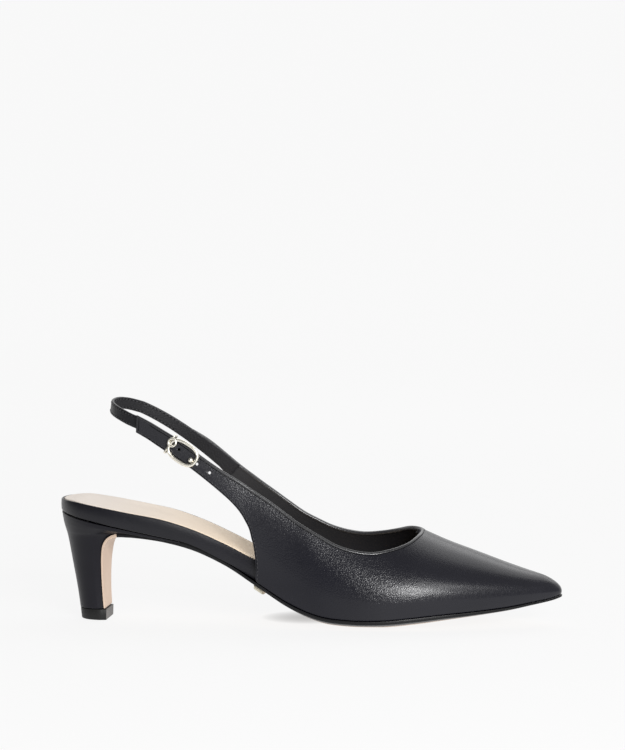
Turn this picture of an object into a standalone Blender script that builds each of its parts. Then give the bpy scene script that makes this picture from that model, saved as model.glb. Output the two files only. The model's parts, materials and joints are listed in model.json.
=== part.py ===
"""Slingback pump, right shoe: upper, straps, buckle, insole board, sock, outsole, heel and top piece."""

import math

import bmesh
import bpy
from mathutils import Vector

# Main sizes in metres
SHOE_LENGTH = 0.2561
BALL_WIDTH = 0.076
SEAT_HEIGHT = 0.062
HEEL_BACK_X = -0.0196

# Leather and sole thicknesses
UPPER_WALL = 0.0016
SLING_THICK = 0.0015
SOLE_THICK = 0.0017
FLAP_THICK = 0.0008
TOE_SOLE_THICK = 0.0008
SOLE_THINS_FROM = 0.74
SOCK_THICK = 0.0009
FIT_GAP = 0.0003

# Insole board and sock
BOARD_INSET = 0.0020
RIM_WIDTH = 0.0012
BOARD_EDGE_ROUND = 0.0005

# Heel and top piece
TOP_PIECE_HEIGHT = 0.0056
HEEL_TIP_LENGTH = 0.0133
HEEL_TIP_WIDTH = 0.0210
SEAM_HEIGHT = 0.0519
SEAM_SLOPE = 0.205
WING_END_X = 0.0460

# Straps and buckle
SLING_WIDTH = 0.0061
SLING_TILT = math.radians(8)
STRAP_SLOPE = math.radians(32)
BUCKLE_STAY = 3.07
FRAME_LENGTH = 0.0170
FRAME_WIDTH = 0.0112
FRAME_WIRE = 0.0017
KEEPER_WIRE = 0.0010
KEEPER_HALF = 0.00495
KEEPER_ALONG = -0.0080
BAR_DEPTH = -0.0043
RING_DIAMETER = 0.0050
RING_WIRE = 0.0012
RING_ALONG = -0.0072
RING_ACROSS = -0.0014
HOLE_DIAMETER = 0.0015
USED_HOLE_ALONG = 0.0050
HOLE_LINE_DROP = 0.0008
PRONG_WIRE = 0.0009
PRONG_TIP = 0.0023
PLATE_THICK = 0.0012

# The last, a row per section. x: share of SHOE_LENGTH. outer, inner, ridge_y: feather edges and ridge,
# swell_out, swell_in: how far the wall swells past the feather, all shares of BALL_WIDTH. edge, middle:
# underside of the sole at its edge and middle, wide: height of the widest level over the feather,
# ridge: height of the ridge, bed: top of the insole board, all shares of SEAT_HEIGHT. lean: how far the
# ridge lies behind the feather, share of SHOE_LENGTH. pinch: how far the section is drawn in below its top.
LAST_NAMES = "x outer inner ridge_y swell_out swell_in edge middle wide ridge lean pinch bed".split()
LAST = [
    (0.000, 0.000, 0.000, 0.000, 0.000, 0.000, 0.694, 0.694, 0.258, 2.581, 0.000, 0.00, 0.992),
    (0.012, -0.166, 0.166, 0.000, 0.000, 0.000, 0.694, 0.694, 0.258, 2.581, 0.000, 0.00, 0.992),
    (0.047, -0.293, 0.293, 0.000, 0.000, 0.000, 0.694, 0.694, 0.258, 2.581, 0.000, 0.00, 0.985),
    (0.104, -0.346, 0.346, 0.000, 0.000, 0.000, 0.702, 0.702, 0.258, 2.548, 0.000, 0.00, 0.948),
    (0.162, -0.355, 0.351, 0.000, -0.046, -0.046, 0.700, 0.700, 0.258, 2.500, 0.000, 0.00, 0.906),
    (0.225, -0.346, 0.328, 0.000, 0.017, 0.036, 0.669, 0.669, 0.290, 2.419, 0.000, 0.00, 0.857),
    (0.287, -0.332, 0.295, 0.000, 0.053, 0.084, 0.604, 0.597, 0.306, 2.258, 0.000, 0.00, 0.773),
    (0.350, -0.326, 0.274, 0.000, 0.068, 0.108, 0.487, 0.474, 0.323, 2.032, 0.000, 0.00, 0.656),
    (0.412, -0.341, 0.276, 0.000, 0.055, 0.097, 0.335, 0.310, 0.339, 1.774, 0.000, 0.00, 0.522),
    (0.475, -0.384, 0.316, 0.000, 0.039, 0.074, 0.182, 0.139, 0.290, 1.532, 0.000, 0.09, 0.394),
    (0.537, -0.434, 0.379, 0.000, 0.033, 0.053, 0.089, 0.029, 0.226, 1.290, 0.000, 0.20, 0.252),
    (0.600, -0.466, 0.439, 0.000, 0.029, 0.039, 0.063, 0.000, 0.177, 1.065, 0.000, 0.28, 0.155),
    (0.662, -0.468, 0.482, 0.003, 0.029, 0.033, 0.066, 0.000, 0.153, 0.894, 0.000, 0.28, 0.119),
    (0.721, -0.439, 0.488, 0.007, 0.029, 0.030, 0.087, 0.024, 0.137, 0.781, 0.000, 0.24, 0.126),
    (0.779, -0.382, 0.450, 0.011, 0.026, 0.026, 0.111, 0.058, 0.121, 0.678, 0.001, 0.20, 0.155),
    (0.838, -0.305, 0.380, 0.014, 0.024, 0.024, 0.131, 0.094, 0.105, 0.592, 0.003, 0.16, 0.187),
    (0.897, -0.216, 0.289, 0.017, 0.020, 0.020, 0.156, 0.132, 0.090, 0.510, 0.009, 0.13, 0.223),
    (0.943, -0.141, 0.205, 0.020, 0.014, 0.014, 0.187, 0.173, 0.070, 0.455, 0.017, 0.16, 0.258),
    (0.979, -0.074, 0.124, 0.020, 0.009, 0.009, 0.213, 0.206, 0.050, 0.420, 0.026, 0.26, 0.287),
    (0.996, -0.022, 0.068, 0.021, 0.006, 0.006, 0.231, 0.229, 0.030, 0.405, 0.033, 0.40, 0.303),
    (1.000, 0.022, 0.022, 0.022, 0.005, 0.005, 0.237, 0.237, 0.025, 0.400, 0.035, 0.45, 0.308),
]

# Holes of the strap end. along, across: their places from the buckle's middle, shares of FRAME_LENGTH.
HOLES = [(-0.159, -0.018), (0.518, 0.053), (0.971, 0.065)]

# Cut edges of each side of the upper, a row per stay from the strap end to the throat.
# low_x, top_x: shares of SHOE_LENGTH. low_turn, top_turn: place round the section, -1 at the feather,
# 0 at the widest level, 1 at the ridge.
OUTER_SIDE = [
    (0.172, 0.250, 0.173, 0.315),
    (0.194, 0.232, 0.194, 0.300),
    (0.226, 0.204, 0.226, 0.277),
    (0.266, 0.178, 0.266, 0.257),
    (0.307, 0.152, 0.307, 0.236),
    (0.338, 0.133, 0.346, 0.229),
    (0.362, 0.116, 0.379, 0.234),
    (0.380, 0.094, 0.410, 0.240),
    (0.392, 0.065, 0.438, 0.254),
    (0.401, 0.029, 0.465, 0.265),
    (0.406, -0.050, 0.492, 0.272),
    (0.410, -0.300, 0.518, 0.285),
    (0.412, -0.640, 0.541, 0.294),
    (0.413, -1.000, 0.567, 0.299),
    (0.451, -1.000, 0.593, 0.314),
    (0.490, -1.000, 0.619, 0.337),
    (0.529, -1.000, 0.645, 0.374),
    (0.569, -1.000, 0.668, 0.433),
    (0.608, -1.000, 0.691, 0.509),
    (0.647, -1.000, 0.709, 0.604),
    (0.686, -1.000, 0.721, 0.735),
    (0.712, -1.000, 0.727, 0.870),
    (0.7275, -1.000, 0.7275, 1.000),
]
INNER_SIDE = [
    (0.256, 0.222, 0.256, 0.263),
    (0.289, 0.182, 0.289, 0.250),
    (0.319, 0.140, 0.322, 0.230),
    (0.342, 0.112, 0.352, 0.214),
    (0.362, 0.085, 0.379, 0.209),
    (0.379, 0.050, 0.406, 0.209),
    (0.391, 0.020, 0.432, 0.215),
    (0.401, -0.030, 0.457, 0.224),
    (0.407, -0.300, 0.484, 0.233),
    (0.411, -0.640, 0.512, 0.253),
    (0.413, -1.000, 0.541, 0.274),
    (0.451, -1.000, 0.572, 0.306),
    (0.490, -1.000, 0.602, 0.351),
    (0.529, -1.000, 0.629, 0.413),
    (0.569, -1.000, 0.654, 0.489),
    (0.608, -1.000, 0.678, 0.592),
    (0.647, -1.000, 0.699, 0.715),
    (0.686, -1.000, 0.714, 0.810),
    (0.712, -1.000, 0.724, 0.900),
    (0.7275, -1.000, 0.7275, 1.000),
]

# How far the sole reaches past the feather. x: share of SHOE_LENGTH, reach: share of BALL_WIDTH.
SOLE_REACH = [
    (0.130, -0.110),
    (0.225, -0.088),
    (0.287, -0.060),
    (0.350, -0.032),
    (0.395, -0.004),
    (0.420, 0.003),
    (0.475, 0.0066),
    (1.000, 0.0066),
]

# The sole's flap down the front of the heel. x: share of HEEL_TIP_LENGTH, z: share of SEAT_HEIGHT,
# half: share of HEEL_TIP_WIDTH, turn: 0 lies flat, 1 stands upright.
FLAP = [
    (1.203, 0.703, 0.895, 0.00),
    (0.947, 0.696, 0.880, 0.15),
    (0.722, 0.668, 0.838, 0.45),
    (0.579, 0.622, 0.771, 0.75),
    (0.519, 0.563, 0.700, 1.00),
    (0.481, 0.468, 0.614, 1.00),
    (0.474, 0.355, 0.543, 1.00),
    (0.489, 0.226, 0.490, 1.00),
    (0.526, 0.098, 0.457, 1.00),
]

# The heel, a ring per row. back_x, front_x: shares of HEEL_TIP_LENGTH, back_z, front_z: shares of the
# height from the top piece to the seat, half, front_half: shares of HEEL_TIP_WIDTH, curve: share of the
# ring that is round.
HEEL = [
    (-1.301, 0.878, 3.459, 0.647, 1.143, 1.029, 0.38),
    (-1.273, 0.836, 3.429, 0.634, 1.118, 1.010, 0.38),
    (-1.242, 0.792, 2.556, 0.682, 1.070, 0.975, 0.45),
    (-1.202, 0.752, 1.805, 0.702, 1.015, 0.940, 0.54),
    (-1.152, 0.712, 1.195, 0.707, 0.957, 0.890, 0.64),
    (-1.105, 0.672, 0.895, 0.698, 0.900, 0.852, 0.72),
    (-1.060, 0.623, 0.624, 0.661, 0.840, 0.790, 0.78),
    (-1.015, 0.568, 0.436, 0.595, 0.775, 0.721, 0.80),
    (-0.970, 0.506, 0.368, 0.512, 0.711, 0.657, 0.80),
    (-0.895, 0.403, 0.331, 0.412, 0.631, 0.581, 0.80),
    (-0.805, 0.284, 0.323, 0.287, 0.565, 0.522, 0.80),
    (-0.707, 0.145, 0.338, 0.145, 0.514, 0.476, 0.80),
    (-0.624, 0.001, 0.376, 0.001, 0.484, 0.448, 0.80),
]

# The back of the sling strap, its middle line. x, y: shares of BALL_WIDTH, z: share of SEAT_HEIGHT.
SLING_LOOP = [
    (0.276, -0.225, 1.660),
    (0.200, -0.165, 1.697),
    (0.139, -0.088, 1.728),
    (0.111, 0.005, 1.753),
    (0.139, 0.095, 1.766),
    (0.204, 0.170, 1.750),
    (0.289, 0.228, 1.713),
]

# The sling strap's run inside the inner quarter. x: share of SHOE_LENGTH, z: share of SEAT_HEIGHT,
# wide: share of SLING_WIDTH.
SLING_INNER = [
    (0.194, 1.640, 1.03),
    (0.225, 1.559, 1.06),
    (0.256, 1.472, 1.10),
    (0.289, 1.372, 1.18),
    (0.318, 1.274, 1.24),
    (0.342, 1.189, 1.26),
]


def clear_scene():
    for item in list(bpy.data.objects):
        bpy.data.objects.remove(item, do_unlink=True)


def spline(before, start, end, after, share):
    """One value between start and end on a smooth curve through all four."""
    first = (end - before) * share
    second = (2 * before - 5 * start + 4 * end - after) * share ** 2
    third = (3 * start - before - 3 * end + after) * share ** 3
    return 0.5 * (2 * start + first + second + third)


def read_table(rows, place):
    """A row of the table at a place between its rows, on a smooth curve."""
    last = len(rows) - 1
    place = min(max(place, 0.0), last - 1e-9)
    index = int(place)
    before = rows[max(index - 1, 0)]
    after = rows[min(index + 2, last)]
    pairs = zip(before, rows[index], rows[index + 1], after)
    return [spline(a, b, c, d, place - index) for a, b, c, d in pairs]


def turned_round(row):
    """The row met when the outline goes on round an end, with its two sides changed over."""
    return (row[0], row[2], row[1], row[3], row[5], row[4]) + tuple(row[6:])


LAST_ROUND = [turned_round(LAST[1])] + LAST + [turned_round(LAST[-2])]
LAST_END = len(LAST) - 1


def last_at(place):
    """Sizes of the last at a place counted in rows, in metres."""
    place = min(max(place, 0.0), LAST_END - 1e-9)
    row = dict(zip(LAST_NAMES, read_table(LAST_ROUND, place + 1)))
    for name in ("outer", "inner", "ridge_y", "swell_out", "swell_in"):
        row[name] *= BALL_WIDTH
    for name in ("edge", "middle", "wide", "ridge", "bed"):
        row[name] *= SEAT_HEIGHT
    row["middle"] = max(row["middle"], 0.0)
    thin = min(max((row["x"] - SOLE_THINS_FROM) / (1 - SOLE_THINS_FROM), 0.0), 1.0)
    row["sole"] = SOLE_THICK + (TOE_SOLE_THICK - SOLE_THICK) * thin
    row["x"] = HEEL_BACK_X + row["x"] * SHOE_LENGTH
    row["lean"] *= SHOE_LENGTH
    return row


def place_at(share):
    """Place in rows where the outline reaches a share of the length."""
    low = 0.0
    high = float(LAST_END)
    for _ in range(40):
        middle = (low + high) / 2
        if read_table(LAST_ROUND, middle + 1)[0] < share:
            low = middle
        else:
            high = middle
    return (low + high) / 2


def last_point(place, turn, side):
    """Point of the last's surface. side is -1 for the outer and 1 for the inner side."""
    row = last_at(place)
    edge = row["outer"] if side < 0 else row["inner"]
    swell = row["swell_out"] if side < 0 else row["swell_in"]
    foot = max((edge - row["ridge_y"]) * side, 0.0)
    forward = min(max((place - LAST_END + 5) / 5, 0.0), 1.0)
    wide = foot + swell * math.sqrt(1 - forward ** 2)
    reach = swell * forward
    feather = row["edge"] + row["sole"] + FIT_GAP
    level = feather + row["wide"]
    if turn >= 0:
        angle = turn * math.pi / 2
        up = math.sin(angle)
        across = math.cos(angle) * (1 - row["pinch"] * up ** 2)
        x = row["x"] + reach - (row["lean"] + reach) * (1 - across)
        return Vector((x, row["ridge_y"] + side * wide * across, level + (row["ridge"] - level) * up))
    most = math.acos(min(max(foot / max(wide, 1e-6), 0.6), 0.97))
    tuck = (1 - math.cos(-turn * most)) / (1 - math.cos(most))
    down = math.sin(-turn * most) / math.sin(most)
    x = row["x"] + reach * (1 - tuck)
    return Vector((x, row["ridge_y"] + side * (wide - (wide - foot) * tuck), level - (level - feather) * down))


def turn_at_height(place, height):
    """Turn at which the section of the last reaches a height over its widest level."""
    row = last_at(place)
    level = row["edge"] + row["sole"] + FIT_GAP + row["wide"]
    up = min(max((height - level) / (row["ridge"] - level), 0.0), 1.0)
    return math.asin(up) * 2 / math.pi


def share_of(x):
    return (x - HEEL_BACK_X) / SHOE_LENGTH


def wall_point(x, height, side):
    """Point of the last at a distance along and a height."""
    place = place_at(share_of(x))
    return last_point(place, turn_at_height(place, height), side)


def wall_normal(x, height, side):
    step = 0.001
    along = wall_point(x + step, height, side) - wall_point(x - step, height, side)
    up = wall_point(x, height + step, side) - wall_point(x, height - step, side)
    normal = along.cross(up).normalized()
    return normal if normal.y * side > 0 else -normal


def outline_point(place, side, out):
    """Plan point of the feather line moved outward, and the sizes of the last there."""
    row = last_at(place)
    name = "outer" if side < 0 else "inner"
    step = 0.02
    back = last_at(max(place - step, 0.0))
    front = last_at(min(place + step, LAST_END))
    run = Vector((front["x"] - back["x"], front[name] - back[name]))
    if place < step:
        run = Vector((0.0, side))
    if place > LAST_END - step:
        run = Vector((0.0, -side))
    run.normalize()
    normal = Vector((-run.y, run.x)) * side
    return Vector((row["x"], row[name])) + normal * out, row


def crown_share(across):
    """How far the underside has risen from its middle to its edge. It is flat in the middle third."""
    return max((abs(across) - 0.3) / 0.7, 0.0) ** 2


def under_height(row, across):
    return row["middle"] + (row["edge"] - row["middle"]) * crown_share(across)


def add_grid(mesh, rows, closed=False):
    """Faces between rows of vertices."""
    for first, second in zip(rows, rows[1:]):
        count = len(first)
        for index in range(count if closed else count - 1):
            following = (index + 1) % count
            corners = [first[index], first[following], second[following], second[index]]
            corners = [v for n, v in enumerate(corners) if v not in corners[:n]]
            if len(corners) > 2 and not mesh.faces.get(corners):
                mesh.faces.new(corners)


def new_material(name, color, roughness, metallic=0.0):
    material = bpy.data.materials.new(name)
    material.use_nodes = True
    shader = material.node_tree.nodes["Principled BSDF"]
    shader.inputs["Base Color"].default_value = (*color, 1.0)
    shader.inputs["Roughness"].default_value = roughness
    shader.inputs["Metallic"].default_value = metallic
    material.diffuse_color = (*color, 1.0)
    return material


def finish(name, mesh, material):
    """An object from a closed mesh, with its faces turned outward."""
    bmesh.ops.recalc_face_normals(mesh, faces=mesh.faces)
    if mesh.calc_volume(signed=True) < 0:
        bmesh.ops.reverse_faces(mesh, faces=mesh.faces)
    data = bpy.data.meshes.new(name)
    mesh.to_mesh(data)
    mesh.free()
    data.materials.append(material)
    item = bpy.data.objects.new(name, data)
    bpy.context.scene.collection.objects.link(item)
    return item


def thicken(mesh, wall):
    """Turns an open sheet into a closed wall, going inward from its faces."""
    mesh.normal_update()
    boundary = [edge for edge in mesh.edges if edge.is_boundary]
    outside = list(mesh.faces)
    inner = {vert: mesh.verts.new(vert.co - vert.normal * wall) for vert in list(mesh.verts)}
    for face in outside:
        mesh.faces.new([inner[vert] for vert in reversed(face.verts)])
    for edge in boundary:
        start, end = edge.verts
        loop = edge.link_loops[0]
        if loop.vert is not start:
            start, end = end, start
        mesh.faces.new([end, start, inner[start], inner[end]])


def loft_ends(mesh, rings):
    """Closed surface through rings of points, with flat ends."""
    made = [[mesh.verts.new(point) for point in ring] for ring in rings]
    add_grid(mesh, made, closed=True)
    mesh.faces.new(list(reversed(made[0])))
    mesh.faces.new(made[-1])


def tube_rings(points, radius, sides, closed=False):
    """Rings of a round wire along points, carried without twist."""
    count = len(points)
    rings = []
    normal = None
    for index in range(count):
        if closed:
            run = points[(index + 1) % count] - points[index - 1]
        else:
            run = points[min(index + 1, count - 1)] - points[max(index - 1, 0)]
        run.normalize()
        if normal is None:
            normal = run.orthogonal()
        normal = (normal - run * normal.dot(run)).normalized()
        other = run.cross(normal)
        ring = []
        for step in range(sides):
            angle = 2 * math.pi * step / sides
            ring.append(points[index] + (normal * math.cos(angle) + other * math.sin(angle)) * radius)
        rings.append(ring)
    return rings


def wire(mesh, points, radius, sides=8, closed=False):
    rings = tube_rings(points, radius, sides, closed)
    if closed:
        made = [[mesh.verts.new(point) for point in ring] for ring in rings]
        start = made[0]
        shift = min(range(sides), key=lambda n: (start[n].co - made[-1][0].co).length)
        made.append([start[(n + shift) % sides] for n in range(sides)])
        add_grid(mesh, made, closed=True)
    else:
        loft_ends(mesh, rings)


# Upper
def side_sheet(mesh, table, side, steps, columns, front_places):
    """One side of the upper: stays from the strap end to the throat, then rows over the vamp."""
    rows = []
    count = (len(table) - 1) * steps
    for index in range(count + 1):
        low_x, low_turn, top_x, top_turn = read_table(table, index / steps)
        low = (place_at(low_x), max(low_turn, -1.0))
        top = (place_at(top_x), min(top_turn, 1.0))
        rows.append([(low, top, column / columns) for column in range(columns + 1)])
    for place in front_places:
        rows.append([((place, -1.0), (place, 1.0), column / columns) for column in range(columns + 1)])
    made = []
    for row in rows:
        line = []
        for low, top, share in row:
            place = low[0] + (top[0] - low[0]) * share
            turn = low[1] + (top[1] - low[1]) * share
            line.append(mesh.verts.new(last_point(place, turn, side)))
        made.append(line)
    add_grid(mesh, made if side < 0 else [list(reversed(line)) for line in made])


def vamp_places(steps):
    throat = place_at(OUTER_SIDE[-1][0])
    return [throat + (LAST_END - throat) * (index + 1) / steps for index in range(steps)]


def build_upper(material):
    mesh = bmesh.new()
    front = vamp_places(15)
    side_sheet(mesh, OUTER_SIDE, -1, 2, 7, front)
    side_sheet(mesh, INNER_SIDE, 1, 2, 7, front)
    bmesh.ops.remove_doubles(mesh, verts=mesh.verts, dist=1e-5)
    bmesh.ops.recalc_face_normals(mesh, faces=mesh.faces)
    mesh.normal_update()
    probe = max(mesh.faces, key=lambda face: face.calc_center_median().z)
    if probe.normal.y * probe.calc_center_median().y < 0:
        bmesh.ops.reverse_faces(mesh, faces=mesh.faces)
    thicken(mesh, UPPER_WALL)
    return finish("upper", mesh, material)


# Buckle, placed on the outer strap by distance along it, across it and out from it
def buckle_centre():
    """Middle of the strap at the buckle's stay."""
    low_x, low_turn, top_x, top_turn = read_table(OUTER_SIDE, BUCKLE_STAY)
    return last_point(place_at((low_x + top_x) / 2), (low_turn + top_turn) / 2, -1)


BUCKLE_CENTRE = buckle_centre()


def on_strap(along, across, out):
    x = BUCKLE_CENTRE.x + along * math.cos(STRAP_SLOPE) - across * math.sin(STRAP_SLOPE)
    z = BUCKLE_CENTRE.z - along * math.sin(STRAP_SLOPE) - across * math.cos(STRAP_SLOPE)
    return wall_point(x, z, -1) + wall_normal(x, z, -1) * out


def cutter(item):
    item.hide_render = True
    item.display_type = "WIRE"
    return item


def add_boolean(item, other, operation):
    modifier = item.modifiers.new(operation.title(), "BOOLEAN")
    modifier.operation = operation
    modifier.solver = "EXACT"
    modifier.object = other


def hole_places():
    """The holes from the buckle's middle, the used one first."""
    free = [(along * FRAME_LENGTH, across * FRAME_LENGTH) for along, across in HOLES]
    return [(USED_HOLE_ALONG, HOLE_LINE_DROP)] + free


def punch_holes(upper, material):
    for index, (along, across) in enumerate(hole_places()):
        mesh = bmesh.new()
        ends = [on_strap(along, across, -2.5 * UPPER_WALL), on_strap(along, across, 2.5 * UPPER_WALL)]
        wire(mesh, ends, HOLE_DIAMETER / 2, 10)
        tool = cutter(finish(f"hole_tool_{index}", mesh, material))
        add_boolean(upper, tool, "DIFFERENCE")


def build_frame(material):
    out = FIT_GAP + FRAME_WIRE / 2
    points = []
    for index in range(28):
        angle = 2 * math.pi * index / 28
        along = math.copysign(abs(math.cos(angle)) ** 0.75, math.cos(angle)) * (FRAME_LENGTH - FRAME_WIRE) / 2
        across = math.copysign(abs(math.sin(angle)) ** 0.75, math.sin(angle)) * (FRAME_WIDTH - FRAME_WIRE) / 2
        points.append(on_strap(along, across, out))
    mesh = bmesh.new()
    wire(mesh, points, FRAME_WIRE / 2, 8, closed=True)
    frame = finish("buckle_frame", mesh, material)
    corner = 0.0006
    top = FIT_GAP + KEEPER_WIRE / 2 + 0.0001
    corners = [
        (-KEEPER_HALF + corner, top),
        (0.0, top),
        (KEEPER_HALF - corner, top),
        (KEEPER_HALF, top - corner),
        (KEEPER_HALF, BAR_DEPTH + corner),
        (KEEPER_HALF - corner, BAR_DEPTH),
        (0.0, BAR_DEPTH),
        (-KEEPER_HALF + corner, BAR_DEPTH),
        (-KEEPER_HALF, BAR_DEPTH + corner),
        (-KEEPER_HALF, top - corner),
    ]
    mesh = bmesh.new()
    wire(mesh, [on_strap(KEEPER_ALONG, a, b) for a, b in corners], KEEPER_WIRE / 2, 8, closed=True)
    add_boolean(frame, cutter(finish("keeper_tool", mesh, material)), "UNION")
    points = []
    for index in range(16):
        angle = 2 * math.pi * index / 16
        radius = (RING_DIAMETER - RING_WIRE) / 2
        along = RING_ALONG + radius * math.cos(angle)
        points.append(on_strap(along, RING_ACROSS + radius * math.sin(angle), out + 0.0004))
    mesh = bmesh.new()
    wire(mesh, points, RING_WIRE / 2, 8, closed=True)
    add_boolean(frame, cutter(finish("ring_tool", mesh, material)), "UNION")


def build_prong(material):
    hook = KEEPER_WIRE / 2 + 0.0001 + PRONG_WIRE / 2
    path = []
    for degrees in (-60, -100, -140, -180, -220, -260):
        angle = math.radians(degrees)
        path.append((KEEPER_ALONG + hook * math.cos(angle), BAR_DEPTH + hook * math.sin(angle)))
    under = -UPPER_WALL - FIT_GAP - PRONG_WIRE / 2 - 0.0001
    path.append((KEEPER_ALONG + 0.0020, under - 0.0003))
    path.append((KEEPER_ALONG + 0.0040, under))
    path.append((USED_HOLE_ALONG - 0.0012, under))
    path.append((USED_HOLE_ALONG - 0.0003, under + 0.0002))
    path.append((USED_HOLE_ALONG, under + 0.0008))
    path.append((USED_HOLE_ALONG, 0.0006))
    points = []
    for along, out in path:
        share = min(max((along - KEEPER_ALONG) / (USED_HOLE_ALONG - KEEPER_ALONG), 0.0), 1.0)
        points.append(on_strap(along, HOLE_LINE_DROP * share, out))
    mesh = bmesh.new()
    wire(mesh, points, PRONG_WIRE / 2, 8)
    prong = finish("buckle_prong", mesh, material)
    mesh = bmesh.new()
    bmesh.ops.create_uvsphere(mesh, u_segments=12, v_segments=8, radius=PRONG_TIP / 2)
    centre = on_strap(USED_HOLE_ALONG, HOLE_LINE_DROP, FIT_GAP + PRONG_TIP / 2)
    bmesh.ops.translate(mesh, verts=mesh.verts, vec=centre)
    add_boolean(prong, cutter(finish("tip_tool", mesh, material)), "UNION")


# Sling strap
def sling_line():
    """Middle line of the sling strap from its fold round the bar to the inner quarter, with its width axis."""
    depth = -(UPPER_WALL + FIT_GAP + SLING_THICK / 2)
    line = []

    def add_on_strap(along, out):
        width = on_strap(along, -0.001, out) - on_strap(along, 0.001, out)
        line.append((on_strap(along, 0.0, out), width.normalized(), 1.0))

    folded = depth - SLING_THICK - FIT_GAP
    radius = depth - BAR_DEPTH
    add_on_strap(KEEPER_ALONG - 0.0095, folded)
    add_on_strap(KEEPER_ALONG - 0.0065, folded)
    add_on_strap(KEEPER_ALONG - 0.0042, folded - 0.0003)
    add_on_strap(KEEPER_ALONG - 0.0022, BAR_DEPTH - radius + 0.0003)
    for degrees in (-90, -60, -30, 0, 30, 60, 90):
        angle = math.radians(degrees)
        add_on_strap(KEEPER_ALONG + radius * math.cos(angle), BAR_DEPTH + radius * math.sin(angle))
    for along in (-0.0025, -0.0055, -0.0085, -0.0125, -0.0165):
        add_on_strap(KEEPER_ALONG + along, depth)
    loop = []
    for index in range((len(SLING_LOOP) - 1) * 3 + 1):
        x, y, z = read_table(SLING_LOOP, index / 3)
        loop.append(Vector((x * BALL_WIDTH, y * BALL_WIDTH, z * SEAT_HEIGHT)))
    for index, point in enumerate(loop):
        before = loop[max(index - 1, 0)]
        after = loop[min(index + 1, len(loop) - 1)]
        run = (after - before).normalized()
        up = (Vector((0, 0, 1)) - run * run.z).normalized()
        outward = up.cross(run)
        if outward.dot(Vector((point.x - 0.4 * BALL_WIDTH, point.y, 0.0))) < 0:
            outward.negate()
        line.append((point, up * math.cos(SLING_TILT) - outward * math.sin(SLING_TILT), 1.0))
    for x, z, share in SLING_INNER:
        x = HEEL_BACK_X + x * SHOE_LENGTH
        z = z * SEAT_HEIGHT
        point = wall_point(x, z, 1) + wall_normal(x, z, 1) * depth
        width = wall_point(x + 0.0006, z + 0.001, 1) - wall_point(x - 0.0006, z - 0.001, 1)
        line.append((point, width.normalized(), share))
    return line


def build_sling(material):
    line = sling_line()
    rings = []
    for index, (point, width, share) in enumerate(line):
        before = line[max(index - 1, 0)][0]
        after = line[min(index + 1, len(line) - 1)][0]
        run = (after - before).normalized()
        width = (width - run * width.dot(run)).normalized()
        thick = run.cross(width)
        half = width * SLING_WIDTH * share / 2
        deep = thick * SLING_THICK / 2
        rings.append([point - half - deep, point + half - deep, point + half + deep, point - half + deep])
    mesh = bmesh.new()
    loft_ends(mesh, rings)
    sling = finish("sling_strap", mesh, material)
    mesh = bmesh.new()
    rings = []
    for along, low, high in ((-0.0020, -0.0080, -0.0030), (0.0030, -0.0080, -0.0012)):
        ring = []
        for across, out in ((-0.0009, low), (0.0013, low), (0.0013, high), (-0.0009, high)):
            ring.append(on_strap(KEEPER_ALONG + along, across, out))
        rings.append(ring)
    loft_ends(mesh, rings)
    add_boolean(sling, cutter(finish("notch_tool", mesh, material)), "DIFFERENCE")


# Insole board and sock
def board_under(row, across):
    """Underside of the board: on the heel's seat, then on the sole from just ahead of the heel's wing."""
    if row["x"] < WING_END_X + 2 * FIT_GAP:
        return SEAM_HEIGHT - SEAM_SLOPE * row["x"] + FIT_GAP
    return under_height(row, across) + row["sole"] + FIT_GAP


def board_top(row, across):
    return row["bed"] + 0.4 * (row["edge"] - row["middle"]) * crown_share(across)


def layer_places(steps):
    """Places of the rings of a layer, with one just before and one just after the end of the wing."""
    ends = [place_at(share_of(WING_END_X + FIT_GAP)), place_at(share_of(WING_END_X + 3 * FIT_GAP))]
    places = [LAST_END * (0.004 + 0.992 * index / steps) for index in range(steps + 1)]
    places = [place for place in places if min(abs(place - end) for end in ends) > 0.1]
    return sorted(places + ends)


def layer_ring(place, section):
    """A ring across a layer. section: distance in from the outline, share across, height function."""
    ring = []
    for inset, across, height in section:
        outer, row = outline_point(place, -1, -inset)
        inner, _ = outline_point(place, 1, -inset)
        point = outer.lerp(inner, (across + 1) / 2)
        ring.append(Vector((point.x, point.y, height(row, across))))
    return ring


def build_board(material):
    """The board with its wrapped rim standing round the sock."""
    floor = SOCK_THICK + FIT_GAP

    def side_height(row, across):
        return board_top(row, across) - BOARD_EDGE_ROUND

    def floor_height(row, across):
        return board_top(row, across) - floor

    round_in = BOARD_INSET + BOARD_EDGE_ROUND
    rim_in = BOARD_INSET + RIM_WIDTH
    floor_in = rim_in + 0.0001
    section = [(BOARD_INSET, share, board_under) for share in (-1.0, -0.7, -0.3, 0.0, 0.3, 0.7, 1.0)]
    section.append((BOARD_INSET, 1.0, side_height))
    section.append((round_in, 1.0, board_top))
    section.append((rim_in, 1.0, board_top))
    section += [(floor_in, share, floor_height) for share in (1.0, 0.7, 0.3, 0.0, -0.3, -0.7, -1.0)]
    section.append((rim_in, -1.0, board_top))
    section.append((round_in, -1.0, board_top))
    section.append((BOARD_INSET, -1.0, side_height))
    mesh = bmesh.new()
    loft_ends(mesh, [layer_ring(place, section) for place in layer_places(44)])
    return finish("insole_board", mesh, material)


def build_sock(material):
    def low(row, across):
        return board_top(row, across) - SOCK_THICK

    inset = BOARD_INSET + RIM_WIDTH + FIT_GAP + 0.0001
    shares = (-1.0, -0.7, -0.3, 0.0, 0.3, 0.7, 1.0)
    section = [(inset, share, low) for share in shares]
    section += [(inset, share, board_top) for share in reversed(shares)]
    mesh = bmesh.new()
    places = layer_places(44)[1:-1]
    loft_ends(mesh, [layer_ring(place, section) for place in places])
    return finish("insole_sock", mesh, material)


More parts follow.
